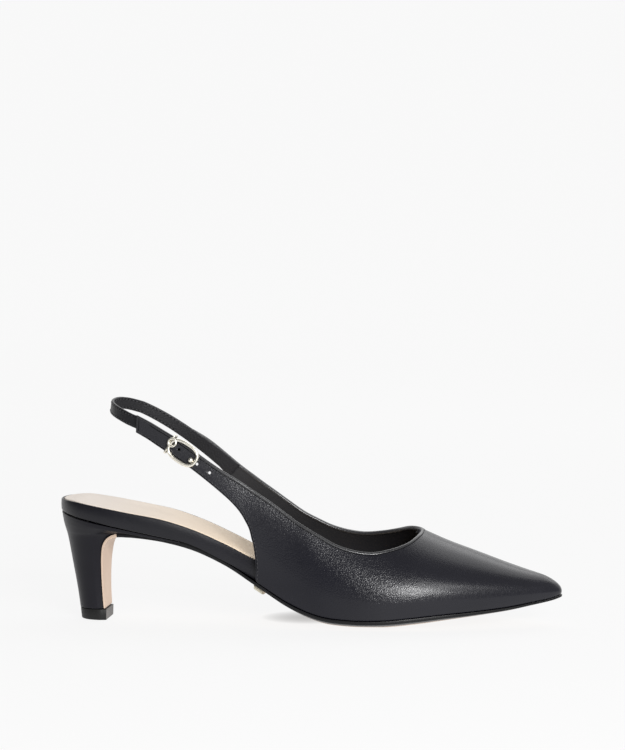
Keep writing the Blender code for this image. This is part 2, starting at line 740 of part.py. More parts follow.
# Outsole
def sole_reach(share):
    for (start, first), (end, second) in zip(SOLE_REACH, SOLE_REACH[1:]):
        if share <= end:
            blend = min(max((share - start) / (end - start), 0.0), 1.0)
            return (first + (second - first) * blend) * BALL_WIDTH
    return SOLE_REACH[-1][1] * BALL_WIDTH


def sole_rows(steps):
    """Rows of the sole from the tip of the flap to the toe: underside point and way to its upper side."""
    shares = (-1.0, -0.78, -0.55, -0.3, 0.0, 0.3, 0.55, 0.78, 1.0)
    rows = []
    for x, z, half, turn in reversed(FLAP):
        angle = turn * math.pi / 2
        inward = Vector((-math.sin(angle), 0.0, math.cos(angle)))
        point = Vector((x * HEEL_TIP_LENGTH, 0.0, z * SEAT_HEIGHT)) + inward * SOLE_THICK
        inward *= SOLE_THICK + (FLAP_THICK - SOLE_THICK) * turn
        across = Vector((0.0, half * HEEL_TIP_WIDTH, 0.0))
        rows.append([(point + across * share - inward, inward) for share in shares])
    first = place_at(share_of((FLAP[0][0] + 0.41) * HEEL_TIP_LENGTH))
    for index in range(steps + 1):
        place = first + (LAST_END * 0.998 - first) * index / steps
        share = read_table(LAST_ROUND, place + 1)[0]
        outer, row = outline_point(place, -1, sole_reach(share))
        inner, _ = outline_point(place, 1, sole_reach(share))
        line = []
        for across in shares:
            point = outer.lerp(inner, (across + 1) / 2)
            height = under_height(row, across)
            line.append((Vector((point.x, point.y, height)), Vector((0.0, 0.0, row["sole"]))))
        rows.append(line)
    return rows


def build_sole(material):
    rings = []
    for row in sole_rows(40):
        low = [point for point, inward in row]
        high = [point + inward for point, inward in reversed(row)]
        rings.append(low + high)
    mesh = bmesh.new()
    loft_ends(mesh, rings)
    return finish("outsole", mesh, material)


# Heel and top piece
def heel_ring(back_x, back_z, front_x, front_z, half, front_half, curve):
    """A ring round the heel in a plane through its back and front, round at the back, straight at the front."""
    length = front_x - back_x
    side = []
    for index in range(9):
        angle = math.pi / 2 * index / 8
        side.append((length * curve * (1 - math.cos(angle)), half * math.sin(angle)))
    for share in (0.25, 0.5, 0.75, 0.96):
        width = half + (front_half - half) * share
        side.append((length * (curve + (1 - curve) * share), width))
    side.append((length, front_half * 0.97))
    side.append((length, front_half * 0.5))
    ring = [(length, 0.0)]
    ring += [(x, -y) for x, y in reversed(side)]
    ring += side[1:]
    return [Vector((back_x + x, y, back_z + (front_z - back_z) * x / length)) for x, y in ring]


def build_heel(material):
    foot = TOP_PIECE_HEIGHT + FIT_GAP
    rise = SEAT_HEIGHT - foot
    rings = []
    for back_x, back_z, front_x, front_z, half, front_half, curve in HEEL:
        ring = heel_ring(
            back_x * HEEL_TIP_LENGTH,
            foot + back_z * rise,
            front_x * HEEL_TIP_LENGTH,
            foot + front_z * rise,
            half * HEEL_TIP_WIDTH,
            front_half * HEEL_TIP_WIDTH,
            curve,
        )
        rings.append(ring)
    mesh = bmesh.new()
    loft_ends(mesh, rings)
    return finish("heel_block", mesh, material)


def build_top_piece(material):
    rings = []
    for height, back, front, half in (
        (1.0, -0.617, 0.515, 0.495),
        (0.08, -0.575, 0.505, 0.490),
        (0.0, -0.555, 0.490, 0.482),
    ):
        level = height * TOP_PIECE_HEIGHT
        width = half * HEEL_TIP_WIDTH
        back_x = back * HEEL_TIP_LENGTH
        front_x = front * HEEL_TIP_LENGTH
        rings.append(heel_ring(back_x, level, front_x, level, width, width * 0.93, 0.80))
    mesh = bmesh.new()
    loft_ends(mesh, rings)
    return finish("top_piece", mesh, material)


def build_plate(material):
    """The small plate under the waist."""
    rings = []
    for index in range(3):
        place = place_at(0.405 + 0.0085 * index)
        outer, row = outline_point(place, -1, 0.0)
        inner, _ = outline_point(place, 1, 0.0)
        ring = []
        for across, out in ((-0.8, 0), (-0.6, 0), (-0.4, 0), (-0.2, 0), (-0.2, 1), (-0.4, 1), (-0.6, 1), (-0.8, 1)):
            point = outer.lerp(inner, (across + 1) / 2)
            height = under_height(row, across) - FIT_GAP - out * PLATE_THICK
            ring.append(Vector((point.x, point.y, height)))
        rings.append(ring)
    mesh = bmesh.new()
    loft_ends(mesh, rings)
    return finish("waist_plate", mesh, material)


def main():
    clear_scene()
    black = new_material("black_leather", (0.028, 0.028, 0.032), 0.42)
    strap = new_material("strap_leather", (0.030, 0.030, 0.034), 0.45)
    rim = new_material("rim_leather", (0.026, 0.026, 0.030), 0.42)
    cover = new_material("heel_leather", (0.026, 0.026, 0.030), 0.40)
    tan = new_material("sock_leather", (0.78, 0.72, 0.65), 0.55)
    sole = new_material("sole_leather", (0.62, 0.52, 0.42), 0.50)
    rubber = new_material("top_piece_rubber", (0.020, 0.020, 0.022), 0.60)
    gold = new_material("pale_gold", (0.86, 0.77, 0.56), 0.22, 1.0)
    upper = build_upper(black)
    punch_holes(upper, black)
    build_sling(strap)
    build_frame(gold)
    build_prong(gold)
    build_board(rim)
    build_sock(tan)
    build_sole(sole)
    build_heel(cover)
    build_top_piece(rubber)
    build_plate(gold)


main()
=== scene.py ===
"""Looks of the slingback pump: leather, stitches, buckle, insole, sole and heel over the fixed frame."""

import json
import math

import bmesh
import bpy
from mathutils import Matrix, Quaternion, Vector
from mathutils.bvhtree import BVHTree

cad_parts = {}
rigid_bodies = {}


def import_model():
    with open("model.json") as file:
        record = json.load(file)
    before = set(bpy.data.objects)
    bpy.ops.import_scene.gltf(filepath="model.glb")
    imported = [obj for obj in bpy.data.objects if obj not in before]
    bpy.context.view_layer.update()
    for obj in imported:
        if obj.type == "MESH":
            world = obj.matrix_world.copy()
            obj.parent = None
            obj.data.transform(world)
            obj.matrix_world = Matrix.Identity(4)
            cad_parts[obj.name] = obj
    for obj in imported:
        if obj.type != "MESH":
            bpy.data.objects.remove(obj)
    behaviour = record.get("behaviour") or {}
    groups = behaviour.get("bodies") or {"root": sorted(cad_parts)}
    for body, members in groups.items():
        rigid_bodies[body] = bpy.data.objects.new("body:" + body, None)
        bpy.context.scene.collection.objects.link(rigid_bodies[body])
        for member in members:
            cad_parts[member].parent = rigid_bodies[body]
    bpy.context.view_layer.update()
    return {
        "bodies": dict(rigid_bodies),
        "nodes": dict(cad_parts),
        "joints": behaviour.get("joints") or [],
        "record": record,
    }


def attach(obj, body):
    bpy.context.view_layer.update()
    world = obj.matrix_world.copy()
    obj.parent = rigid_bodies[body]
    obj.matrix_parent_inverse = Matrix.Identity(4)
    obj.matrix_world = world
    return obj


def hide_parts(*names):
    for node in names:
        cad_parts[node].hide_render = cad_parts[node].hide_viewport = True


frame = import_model()

# Main sizes in metres
SHOE_LENGTH = 0.2561
BALL_WIDTH = 0.076
SEAT_HEIGHT = 0.062
HEEL_BACK_X = -0.0196

# Leather and sole thicknesses
UPPER_WALL = 0.0016
SLING_THICK = 0.0015
SOLE_THICK = 0.0017
FLAP_THICK = 0.0008
TOE_SOLE_THICK = 0.0008
SOLE_THINS_FROM = 0.74
SOCK_THICK = 0.0009
FIT_GAP = 0.0003

# Insole board and sock
BOARD_INSET = 0.0020
RIM_WIDTH = 0.0012

# Heel and top piece
TOP_PIECE_HEIGHT = 0.0056
HEEL_TIP_LENGTH = 0.0133
HEEL_TIP_WIDTH = 0.0210
SEAM_HEIGHT = 0.0519
SEAM_SLOPE = 0.205
WING_END_X = 0.0460

# Straps and buckle
SLING_WIDTH = 0.0061
SLING_TILT = math.radians(8)
STRAP_SLOPE = math.radians(32)
BUCKLE_STAY = 3.07
FRAME_LENGTH = 0.0170
FRAME_WIDTH = 0.0112
FRAME_WIRE = 0.0017
KEEPER_WIRE = 0.0010
KEEPER_HALF = 0.00495
KEEPER_ALONG = -0.0080
BAR_DEPTH = -0.0043
RING_DIAMETER = 0.0050
RING_WIRE = 0.0012
RING_ALONG = -0.0072
RING_ACROSS = -0.0014
HOLE_DIAMETER = 0.0015
USED_HOLE_ALONG = 0.0050
HOLE_LINE_DROP = 0.0008
PRONG_WIRE = 0.0009
PRONG_TIP = 0.0023
PLATE_THICK = 0.0012

# The last, a row per section. x: share of SHOE_LENGTH. outer, inner, ridge_y: feather edges and ridge,
# swell_out, swell_in: how far the wall swells past the feather, all shares of BALL_WIDTH. edge, middle:
# underside of the sole at its edge and middle, wide: height of the widest level over the feather,
# ridge: height of the ridge, bed: top of the insole board, all shares of SEAT_HEIGHT. lean: how far the
# ridge lies behind the feather, share of SHOE_LENGTH. pinch: how far the section is drawn in below its top.
LAST_NAMES = "x outer inner ridge_y swell_out swell_in edge middle wide ridge lean pinch bed".split()
LAST = [
    (0.000, 0.000, 0.000, 0.000, 0.000, 0.000, 0.694, 0.694, 0.258, 2.581, 0.000, 0.00, 0.992),
    (0.012, -0.166, 0.166, 0.000, 0.000, 0.000, 0.694, 0.694, 0.258, 2.581, 0.000, 0.00, 0.992),
    (0.047, -0.293, 0.293, 0.000, 0.000, 0.000, 0.694, 0.694, 0.258, 2.581, 0.000, 0.00, 0.985),
    (0.104, -0.346, 0.346, 0.000, 0.000, 0.000, 0.702, 0.702, 0.258, 2.548, 0.000, 0.00, 0.948),
    (0.162, -0.355, 0.351, 0.000, -0.046, -0.046, 0.700, 0.700, 0.258, 2.500, 0.000, 0.00, 0.906),
    (0.225, -0.346, 0.328, 0.000, 0.017, 0.036, 0.669, 0.669, 0.290, 2.419, 0.000, 0.00, 0.857),
    (0.287, -0.332, 0.295, 0.000, 0.053, 0.084, 0.604, 0.597, 0.306, 2.258, 0.000, 0.00, 0.773),
    (0.350, -0.326, 0.274, 0.000, 0.068, 0.108, 0.487, 0.474, 0.323, 2.032, 0.000, 0.00, 0.656),
    (0.412, -0.341, 0.276, 0.000, 0.055, 0.097, 0.335, 0.310, 0.339, 1.774, 0.000, 0.00, 0.522),
    (0.475, -0.384, 0.316, 0.000, 0.039, 0.074, 0.182, 0.139, 0.290, 1.532, 0.000, 0.09, 0.394),
    (0.537, -0.434, 0.379, 0.000, 0.033, 0.053, 0.089, 0.029, 0.226, 1.290, 0.000, 0.20, 0.252),
    (0.600, -0.466, 0.439, 0.000, 0.029, 0.039, 0.063, 0.000, 0.177, 1.065, 0.000, 0.28, 0.155),
    (0.662, -0.468, 0.482, 0.003, 0.029, 0.033, 0.066, 0.000, 0.153, 0.894, 0.000, 0.28, 0.119),
    (0.721, -0.439, 0.488, 0.007, 0.029, 0.030, 0.087, 0.024, 0.137, 0.781, 0.000, 0.24, 0.126),
    (0.779, -0.382, 0.450, 0.011, 0.026, 0.026, 0.111, 0.058, 0.121, 0.678, 0.001, 0.20, 0.155),
    (0.838, -0.305, 0.380, 0.014, 0.024, 0.024, 0.131, 0.094, 0.105, 0.592, 0.003, 0.16, 0.187),
    (0.897, -0.216, 0.289, 0.017, 0.020, 0.020, 0.156, 0.132, 0.090, 0.510, 0.009, 0.13, 0.223),
    (0.943, -0.141, 0.205, 0.020, 0.014, 0.014, 0.187, 0.173, 0.070, 0.455, 0.017, 0.16, 0.258),
    (0.979, -0.074, 0.124, 0.020, 0.009, 0.009, 0.213, 0.206, 0.050, 0.420, 0.026, 0.26, 0.287),
    (0.996, -0.022, 0.068, 0.021, 0.006, 0.006, 0.231, 0.229, 0.030, 0.405, 0.033, 0.40, 0.303),
    (1.000, 0.022, 0.022, 0.022, 0.005, 0.005, 0.237, 0.237, 0.025, 0.400, 0.035, 0.45, 0.308),
]

# Holes of the strap end. along, across: their places from the buckle's middle, shares of FRAME_LENGTH.
HOLES = [(-0.159, -0.018), (0.518, 0.053), (0.971, 0.065)]

# Cut edges of each side of the upper, a row per stay from the strap end to the throat.
# low_x, top_x: shares of SHOE_LENGTH. low_turn, top_turn: place round the section, -1 at the feather,
# 0 at the widest level, 1 at the ridge.
OUTER_SIDE = [
    (0.172, 0.250, 0.173, 0.315),
    (0.194, 0.232, 0.194, 0.300),
    (0.226, 0.204, 0.226, 0.277),
    (0.266, 0.178, 0.266, 0.257),
    (0.307, 0.152, 0.307, 0.236),
    (0.338, 0.133, 0.346, 0.229),
    (0.362, 0.116, 0.379, 0.234),
    (0.380, 0.094, 0.410, 0.240),
    (0.392, 0.065, 0.438, 0.254),
    (0.401, 0.029, 0.465, 0.265),
    (0.406, -0.050, 0.492, 0.272),
    (0.410, -0.300, 0.518, 0.285),
    (0.412, -0.640, 0.541, 0.294),
    (0.413, -1.000, 0.567, 0.299),
    (0.451, -1.000, 0.593, 0.314),
    (0.490, -1.000, 0.619, 0.337),
    (0.529, -1.000, 0.645, 0.374),
    (0.569, -1.000, 0.668, 0.433),
    (0.608, -1.000, 0.691, 0.509),
    (0.647, -1.000, 0.709, 0.604),
    (0.686, -1.000, 0.721, 0.735),
    (0.712, -1.000, 0.727, 0.870),
    (0.7275, -1.000, 0.7275, 1.000),
]
INNER_SIDE = [
    (0.256, 0.222, 0.256, 0.263),
    (0.289, 0.182, 0.289, 0.250),
    (0.319, 0.140, 0.322, 0.230),
    (0.342, 0.112, 0.352, 0.214),
    (0.362, 0.085, 0.379, 0.209),
    (0.379, 0.050, 0.406, 0.209),
    (0.391, 0.020, 0.432, 0.215),
    (0.401, -0.030, 0.457, 0.224),
    (0.407, -0.300, 0.484, 0.233),
    (0.411, -0.640, 0.512, 0.253),
    (0.413, -1.000, 0.541, 0.274),
    (0.451, -1.000, 0.572, 0.306),
    (0.490, -1.000, 0.602, 0.351),
    (0.529, -1.000, 0.629, 0.413),
    (0.569, -1.000, 0.654, 0.489),
    (0.608, -1.000, 0.678, 0.592),
    (0.647, -1.000, 0.699, 0.715),
    (0.686, -1.000, 0.714, 0.810),
    (0.712, -1.000, 0.724, 0.900),
    (0.7275, -1.000, 0.7275, 1.000),
]

# How far the sole reaches past the feather. x: share of SHOE_LENGTH, reach: share of BALL_WIDTH.
SOLE_REACH = [
    (0.130, -0.110),
    (0.225, -0.088),
    (0.287, -0.060),
    (0.350, -0.032),
    (0.395, -0.004),
    (0.420, 0.003),
    (0.475, 0.0066),
    (1.000, 0.0066),
]

# The sole's flap down the front of the heel. x: share of HEEL_TIP_LENGTH, z: share of SEAT_HEIGHT,
# half: share of HEEL_TIP_WIDTH, turn: 0 lies flat, 1 stands upright.
FLAP = [
    (1.203, 0.703, 0.895, 0.00),
    (0.947, 0.696, 0.880, 0.15),
    (0.722, 0.668, 0.838, 0.45),
    (0.579, 0.622, 0.771, 0.75),
    (0.519, 0.563, 0.700, 1.00),
    (0.481, 0.468, 0.614, 1.00),
    (0.474, 0.355, 0.543, 1.00),
    (0.489, 0.226, 0.490, 1.00),
    (0.526, 0.098, 0.457, 1.00),
]

# The heel, a ring per row. back_x, front_x: shares of HEEL_TIP_LENGTH, back_z, front_z: shares of the
# height from the top piece to the seat, half, front_half: shares of HEEL_TIP_WIDTH, curve: share of the
# ring that is round.
HEEL = [
    (-1.301, 0.878, 3.459, 0.647, 1.143, 1.029, 0.38),
    (-1.273, 0.836, 3.429, 0.634, 1.118, 1.010, 0.38),
    (-1.242, 0.792, 2.556, 0.682, 1.070, 0.975, 0.45),
    (-1.202, 0.752, 1.805, 0.702, 1.015, 0.940, 0.54),
    (-1.152, 0.712, 1.195, 0.707, 0.957, 0.890, 0.64),
    (-1.105, 0.672, 0.895, 0.698, 0.900, 0.852, 0.72),
    (-1.060, 0.623, 0.624, 0.661, 0.840, 0.790, 0.78),
    (-1.015, 0.568, 0.436, 0.595, 0.775, 0.721, 0.80),
    (-0.970, 0.506, 0.368, 0.512, 0.711, 0.657, 0.80),
    (-0.895, 0.403, 0.331, 0.412, 0.631, 0.581, 0.80),
    (-0.805, 0.284, 0.323, 0.287, 0.565, 0.522, 0.80),
    (-0.707, 0.145, 0.338, 0.145, 0.514, 0.476, 0.80),
    (-0.624, 0.001, 0.376, 0.001, 0.484, 0.448, 0.80),
]

# The back of the sling strap, its middle line. x, y: shares of BALL_WIDTH, z: share of SEAT_HEIGHT.
SLING_LOOP = [
    (0.276, -0.225, 1.660),
    (0.200, -0.165, 1.697),
    (0.139, -0.088, 1.728),
    (0.111, 0.005, 1.753),
    (0.139, 0.095, 1.766),
    (0.204, 0.170, 1.750),
    (0.289, 0.228, 1.713),
]

# The sling strap's run inside the inner quarter. x: share of SHOE_LENGTH, z: share of SEAT_HEIGHT,
# wide: share of SLING_WIDTH.
SLING_INNER = [
    (0.194, 1.640, 1.03),
    (0.225, 1.559, 1.06),
    (0.256, 1.472, 1.10),
    (0.289, 1.372, 1.18),
    (0.318, 1.274, 1.24),
    (0.342, 1.189, 1.26),
]

# Top piece, a ring per row: height, back and front as shares of HEEL_TIP_LENGTH, half of HEEL_TIP_WIDTH.
TOP_PIECE = [
    (1.0, -0.617, 0.515, 0.495),
    (0.5, -0.597, 0.510, 0.492),
    (0.08, -0.575, 0.505, 0.490),
    (0.0, -0.555, 0.490, 0.482),
]

# Finer sizes that only the looks need
BINDING_DROP = 0.00125
BINDING_PROUD = 0.00032
EDGE_ROUND = 0.00035
WING_RISE = 0.0011
WING_BLEND = 0.022
THREAD_RADIUS = 0.00016
STITCH_LENGTH = 0.0015
STITCH_PITCH = 0.0021
STRAP_STITCH_IN = 0.0010
GROOVE_RADIUS = 0.00012
BALL_SHIFT = 0.0004
BALL_SIZE = 0.58
PLATE_DEEPER = 1.8

# Fineness of the meshes
SIDE_STEPS = 6
SIDE_COLUMNS = 44
FRONT_ROWS = 72
SLING_STEPS = 5
LAYER_STEPS = 190
SOLE_STEPS = 190

# The photo's camera
CAMERA_PLACE = (0.2845, -1.4796, 0.2302)
CAMERA_DOWN = 4.04
CAMERA_ROUND = 6.69
CAMERA_LENS = 142.2
CAMERA_SENSOR = 36

# Floor: where it starts and turns up, radius of the turn, height of the backdrop, width
FLOOR_START, FLOOR_END, FLOOR_RADIUS, BACKDROP_HEIGHT, FLOOR_WIDTH = -4.0, 2.2, 1.2, 3.0, 14.0

# Soft boxes: name, place, target, width, height, power, turn in degrees
SOFT_BOXES = [
    ("front_box", (0.65, -1.325, 0.51), (0.16, -0.03, 0.02), 0.60, 0.25, 17.5, 20.0),
    ("side_box", (0.88, -0.95, 0.87), (0.16, -0.03, 0.02), 0.40, 0.20, 2.3, 0.0),
    ("back_box", (0.32, 1.0, 1.3), (0.15, 0.0, 0.03), 1.6, 1.25, 8.5, 0.0),
]

# Leathers: name, dark tone, light tone, roughness, depth of the grain, specular, then cells per metre,
# coat and how far the grain breaks the gloss, where they differ from the usual.
LEATHERS = {
    "upper": (
        "black_calf", (0.0078, 0.0078, 0.0120), (0.0115, 0.0115, 0.0165),
        0.25, 0.34, 0.38, 1650.0, 0.04, 0.03,
    ),
    "strap": (
        "black_strap", (0.009, 0.009, 0.011), (0.013, 0.013, 0.016), 0.40, 0.32, 0.38, 1500.0, 0.0, 0.03
    ),
    "strap_inner": (
        "black_strap_lining", (0.012, 0.012, 0.014), (0.020, 0.020, 0.023),
        0.55, 0.80, 0.24, 1200.0, 0.0, 0.08,
    ),
    "binding": (
        "black_binding", (0.016, 0.016, 0.018), (0.024, 0.024, 0.027), 0.28, 0.06, 0.7, 1500.0, 0.1, 0.01
    ),
    "lining": ("black_lining", (0.0095, 0.0095, 0.0115), (0.0130, 0.0130, 0.0155), 0.55, 0.30, 0.26),
    "band": ("black_band", (0.0062, 0.0061, 0.0092), (0.0092, 0.0090, 0.0130), 0.34, 0.15, 0.34),
    "heel": ("black_heel_cover", (0.0056, 0.0053, 0.0086), (0.0090, 0.0086, 0.0128), 0.36, 0.15, 0.22),
    "sock": ("tan_sock", (0.83, 0.745, 0.67), (0.88, 0.80, 0.725), 0.55, 0.12, 0.3, 1900.0),
    "edge": ("black_edge_paint", (0.006, 0.006, 0.007), (0.009, 0.009, 0.010), 0.36, 0.08, 0.25),
    "sole": ("tan_sole", (0.58, 0.438, 0.335), (0.66, 0.512, 0.405), 0.50, 0.12, 0.35, 900.0),
    "rubber": ("black_rubber", (0.007, 0.007, 0.007), (0.010, 0.010, 0.010), 0.50, 0.30, 0.30, 700.0),
    # Lighter grey for the top piece's front faces, painted light for the light that falls on them.
    "rubber_lit_front": ("grey_rubber", (0.13, 0.125, 0.12), (0.19, 0.18, 0.175), 0.60, 0.30, 0.3, 700.0),
    # Near-black matte for thin lines of painted shade in grooves and inside a hole.
    "groove": ("black_groove", (0.002, 0.002, 0.002), (0.003, 0.003, 0.003), 0.9, 0.0, 0.0),
    "thread": ("black_thread", (0.030, 0.030, 0.033), (0.055, 0.055, 0.060), 0.50, 0.30, 0.45, 4200.0),
    "dull_gold": ("dull_gold", (0.50, 0.46, 0.36), (0.58, 0.54, 0.43), 0.45, 0.1, 0.5),
}


# Camera, floor and lights


def add_object(name, data):
    item = bpy.data.objects.new(name, data)
    bpy.context.scene.collection.objects.link(item)
    return item


def mesh_data(name, mesh):
    """Mesh data of a finished mesh, which is freed."""
    data = bpy.data.meshes.new(name)
    mesh.to_mesh(data)
    mesh.free()
    return data


def place_camera():
    data = bpy.data.cameras.new("camera")
    data.lens = CAMERA_LENS
    data.sensor_width = CAMERA_SENSOR
    data.clip_end = 20
    camera = add_object("camera", data)
    camera.location = CAMERA_PLACE
    camera.rotation_euler = (math.radians(90 - CAMERA_DOWN), 0, math.radians(CAMERA_ROUND))
    bpy.context.scene.camera = camera


def soft_box(name, place, target, width, height, power, roll):
    """A rectangular light that looks at its target."""
    data = bpy.data.lights.new(name, "AREA")
    data.shape = "RECTANGLE"
    data.size = width
    data.size_y = height
    data.energy = power
    light = add_object(name, data)
    light.location = place
    turn = (Vector(target) - light.location).to_track_quat("-Z", "Y")
    light.rotation_euler = (turn @ Quaternion((0.0, 0.0, 1.0), math.radians(roll))).to_euler()


def build_paper():
    """Paper with an even glow, darker toward the camera, and a faint shadow beside the ball painted into the
    glow.
    """
    material, tree, shader = start_material("studio_paper")
    white = (1.0, 1.0, 1.0, 1.0)
    set_inputs(shader, {"Base Color": (0.10, 0.10, 0.10, 1.0), "Roughness": 0.95})
    set_inputs(shader, {"Specular IOR Level": 0.0, "Emission Color": white})
    spot = shaded_point(tree)
    near = add_ramp(tree, spot["Y"], -0.75, -0.38, 0.14, 0.862)
    far = add_ramp(tree, spot["Y"], 0.8, 2.6, 0.0, 0.034)
    glow = add_math(tree, "ADD", near, far)
    squares = []
    # Painted shadow: the glow is dimmed in a soft patch beside the ball.
    for axis, centre, radius in (("X", 0.108, 0.025), ("Y", 0.012, 0.023)):
        away = add_math(tree, "MULTIPLY", add_math(tree, "SUBTRACT", spot[axis], centre), 1 / radius)
        squares.append(add_math(tree, "POWER", away, 2.0))
    shade = add_ramp(tree, add_math(tree, "ADD", *squares), 0.0, 1.0, 0.56, 1.0)
    tree.links.new(add_math(tree, "MULTIPLY", glow, shade), shader.inputs["Emission Strength"])
    return material


def build_floor():
    """A pale floor that curves up into the backdrop."""
    mesh = bmesh.new()
    bmesh.ops.create_grid(mesh, x_segments=8, y_segments=60, size=0.5)
    straight = FLOOR_END - FLOOR_START
    quarter = FLOOR_RADIUS * math.pi / 2
    for vert in mesh.verts:
        run = (vert.co.y + 0.5) * (straight + quarter + BACKDROP_HEIGHT)
        angle = min(max(run - straight, 0.0) / FLOOR_RADIUS, math.pi / 2)
        vert.co.x = vert.co.x * FLOOR_WIDTH
        vert.co.y = FLOOR_START + min(run, straight) + FLOOR_RADIUS * math.sin(angle)
        vert.co.z = FLOOR_RADIUS * (1 - math.cos(angle)) + max(run - straight - quarter, 0.0)
    for face in mesh.faces:
        face.smooth = True
    floor = add_object("studio_floor", mesh_data("studio_floor", mesh))
    floor.data.materials.append(build_paper())


def build_air():
    """Faint light from all round, stronger from above and from the toe's side."""
    world = bpy.data.worlds.new("studio_air")
    world.use_nodes = True
    tree = world.node_tree
    way = shaded_point(tree, "Generated")
    high = add_ramp(tree, way["Z"], 0.02, 0.30, 0.10, 0.20)
    side = add_ramp(tree, way["X"], 0.20, 0.55, 0.0, 0.20)
    air = tree.nodes["Background"]
    air.inputs["Color"].default_value = (1.0, 1.0, 1.0, 1.0)
    tree.links.new(add_math(tree, "ADD", high, side), air.inputs["Strength"])
    bpy.context.scene.world = world


def build_studio():
    build_floor()
    build_air()
    bpy.context.scene.view_settings.view_transform = "Standard"
    for box in SOFT_BOXES:
        soft_box(*box)


def clamp(value, low=0.0, high=1.0):
    return min(max(value, low), high)


def neighbours(items, index):
    """The items before and after one, or the one itself at an end."""
    return items[max(index - 1, 0)], items[min(index + 1, len(items) - 1)]


def spline(before, start, end, after, share):
    """One value between start and end on a smooth curve through all four."""
    first = (end - before) * share
    second = (2 * before - 5 * start + 4 * end - after) * share ** 2
    third = (3 * start - before - 3 * end + after) * share ** 3
    return 0.5 * (2 * start + first + second + third)


def read_table(rows, place):
    """A row of the table at a place between its rows, on a smooth curve."""
    last = len(rows) - 1
    place = clamp(place, 0.0, last - 1e-9)
    index = int(place)
    before = rows[max(index - 1, 0)]
    after = rows[min(index + 2, last)]
    pairs = zip(before, rows[index], rows[index + 1], after)
    return [spline(a, b, c, d, place - index) for a, b, c, d in pairs]


def turned_round(row):
    """The row met when the outline goes on round an end, with its two sides changed over."""
    return (row[0], row[2], row[1], row[3], row[5], row[4]) + tuple(row[6:])


LAST_ROUND = [turned_round(LAST[1])] + LAST + [turned_round(LAST[-2])]
LAST_END = len(LAST) - 1


def last_at(place):
    """Sizes of the last at a place counted in rows, in metres."""
    place = clamp(place, 0.0, LAST_END - 1e-9)
    row = dict(zip(LAST_NAMES, read_table(LAST_ROUND, place + 1)))
    for name in ("outer", "inner", "ridge_y", "swell_out", "swell_in"):
        row[name] *= BALL_WIDTH
    for name in ("edge", "middle", "wide", "ridge", "bed"):
        row[name] *= SEAT_HEIGHT
    row["middle"] = max(row["middle"], 0.0)
    thin = clamp((row["x"] - SOLE_THINS_FROM) / (1 - SOLE_THINS_FROM))
    row["sole"] = SOLE_THICK + (TOE_SOLE_THICK - SOLE_THICK) * thin
    row["x"] = HEEL_BACK_X + row["x"] * SHOE_LENGTH
    row["lean"] *= SHOE_LENGTH
    return row


def place_at(share):
    """Place in rows where the outline reaches a share of the length."""
    low = 0.0
    high = float(LAST_END)
    for _ in range(40):
        middle = (low + high) / 2
        if read_table(LAST_ROUND, middle + 1)[0] < share:
            low = middle
        else:
            high = middle
    return (low + high) / 2


def last_point(place, turn, side):
    """Point of the last's surface. side is -1 for the outer and 1 for the inner side."""
    row = last_at(place)
    edge = row["outer"] if side < 0 else row["inner"]
    swell = row["swell_out"] if side < 0 else row["swell_in"]
    foot = max((edge - row["ridge_y"]) * side, 0.0)
    forward = clamp((place - LAST_END + 5) / 5)
    wide = foot + swell * math.sqrt(1 - forward ** 2)
    reach = swell * forward
    feather = row["edge"] + row["sole"] + FIT_GAP
    level = feather + row["wide"]
    if turn >= 0:
        angle = turn * math.pi / 2
        up = math.sin(angle)
        across = math.cos(angle) * (1 - row["pinch"] * up ** 2)
        x = row["x"] + reach - (row["lean"] + reach) * (1 - across)
        return Vector((x, row["ridge_y"] + side * wide * across, level + (row["ridge"] - level) * up))
    most = math.acos(clamp(foot / max(wide, 1e-6), 0.6, 0.97))
    tuck = (1 - math.cos(-turn * most)) / (1 - math.cos(most))
    down = math.sin(-turn * most) / math.sin(most)
    x = row["x"] + reach * (1 - tuck)
    y = row["ridge_y"] + side * (wide - (wide - foot) * tuck)
    return Vector((x, y, level - (level - feather) * down))


def turn_at_height(place, height):
    """Turn at which the section of the last reaches a height over its widest level."""
    row = last_at(place)
    level = row["edge"] + row["sole"] + FIT_GAP + row["wide"]
    up = clamp((height - level) / (row["ridge"] - level))
    return math.asin(up) * 2 / math.pi


def share_of(x):
    return (x - HEEL_BACK_X) / SHOE_LENGTH


def wall_point(x, height, side):
    """Point of the last at a distance along and a height."""
    place = place_at(share_of(x))
    return last_point(place, turn_at_height(place, height), side)


def wall_normal(x, height, side):
    step = 0.001
    along = wall_point(x + step, height, side) - wall_point(x - step, height, side)
    up = wall_point(x, height + step, side) - wall_point(x, height - step, side)
    normal = along.cross(up).normalized()
    return normal if normal.y * side > 0 else -normal


def outline_point(place, side, out):
    """Plan point of the feather line moved outward, and the sizes of the last there."""
    row = last_at(place)
    name = "outer" if side < 0 else "inner"
    step = 0.02
    back = last_at(max(place - step, 0.0))
    front = last_at(min(place + step, LAST_END))
    run = Vector((front["x"] - back["x"], front[name] - back[name]))
    if place < step:
        run = Vector((0.0, side))
    if place > LAST_END - step:
        run = Vector((0.0, -side))
    run.normalize()
    normal = Vector((-run.y, run.x)) * side
    return Vector((row["x"], row[name])) + normal * out, row


def crown_share(across):
    """How far the underside has risen from its middle to its edge. It is flat in the middle third."""
    return max((abs(across) - 0.3) / 0.7, 0.0) ** 2


def under_height(row, across):
    return row["middle"] + (row["edge"] - row["middle"]) * crown_share(across)


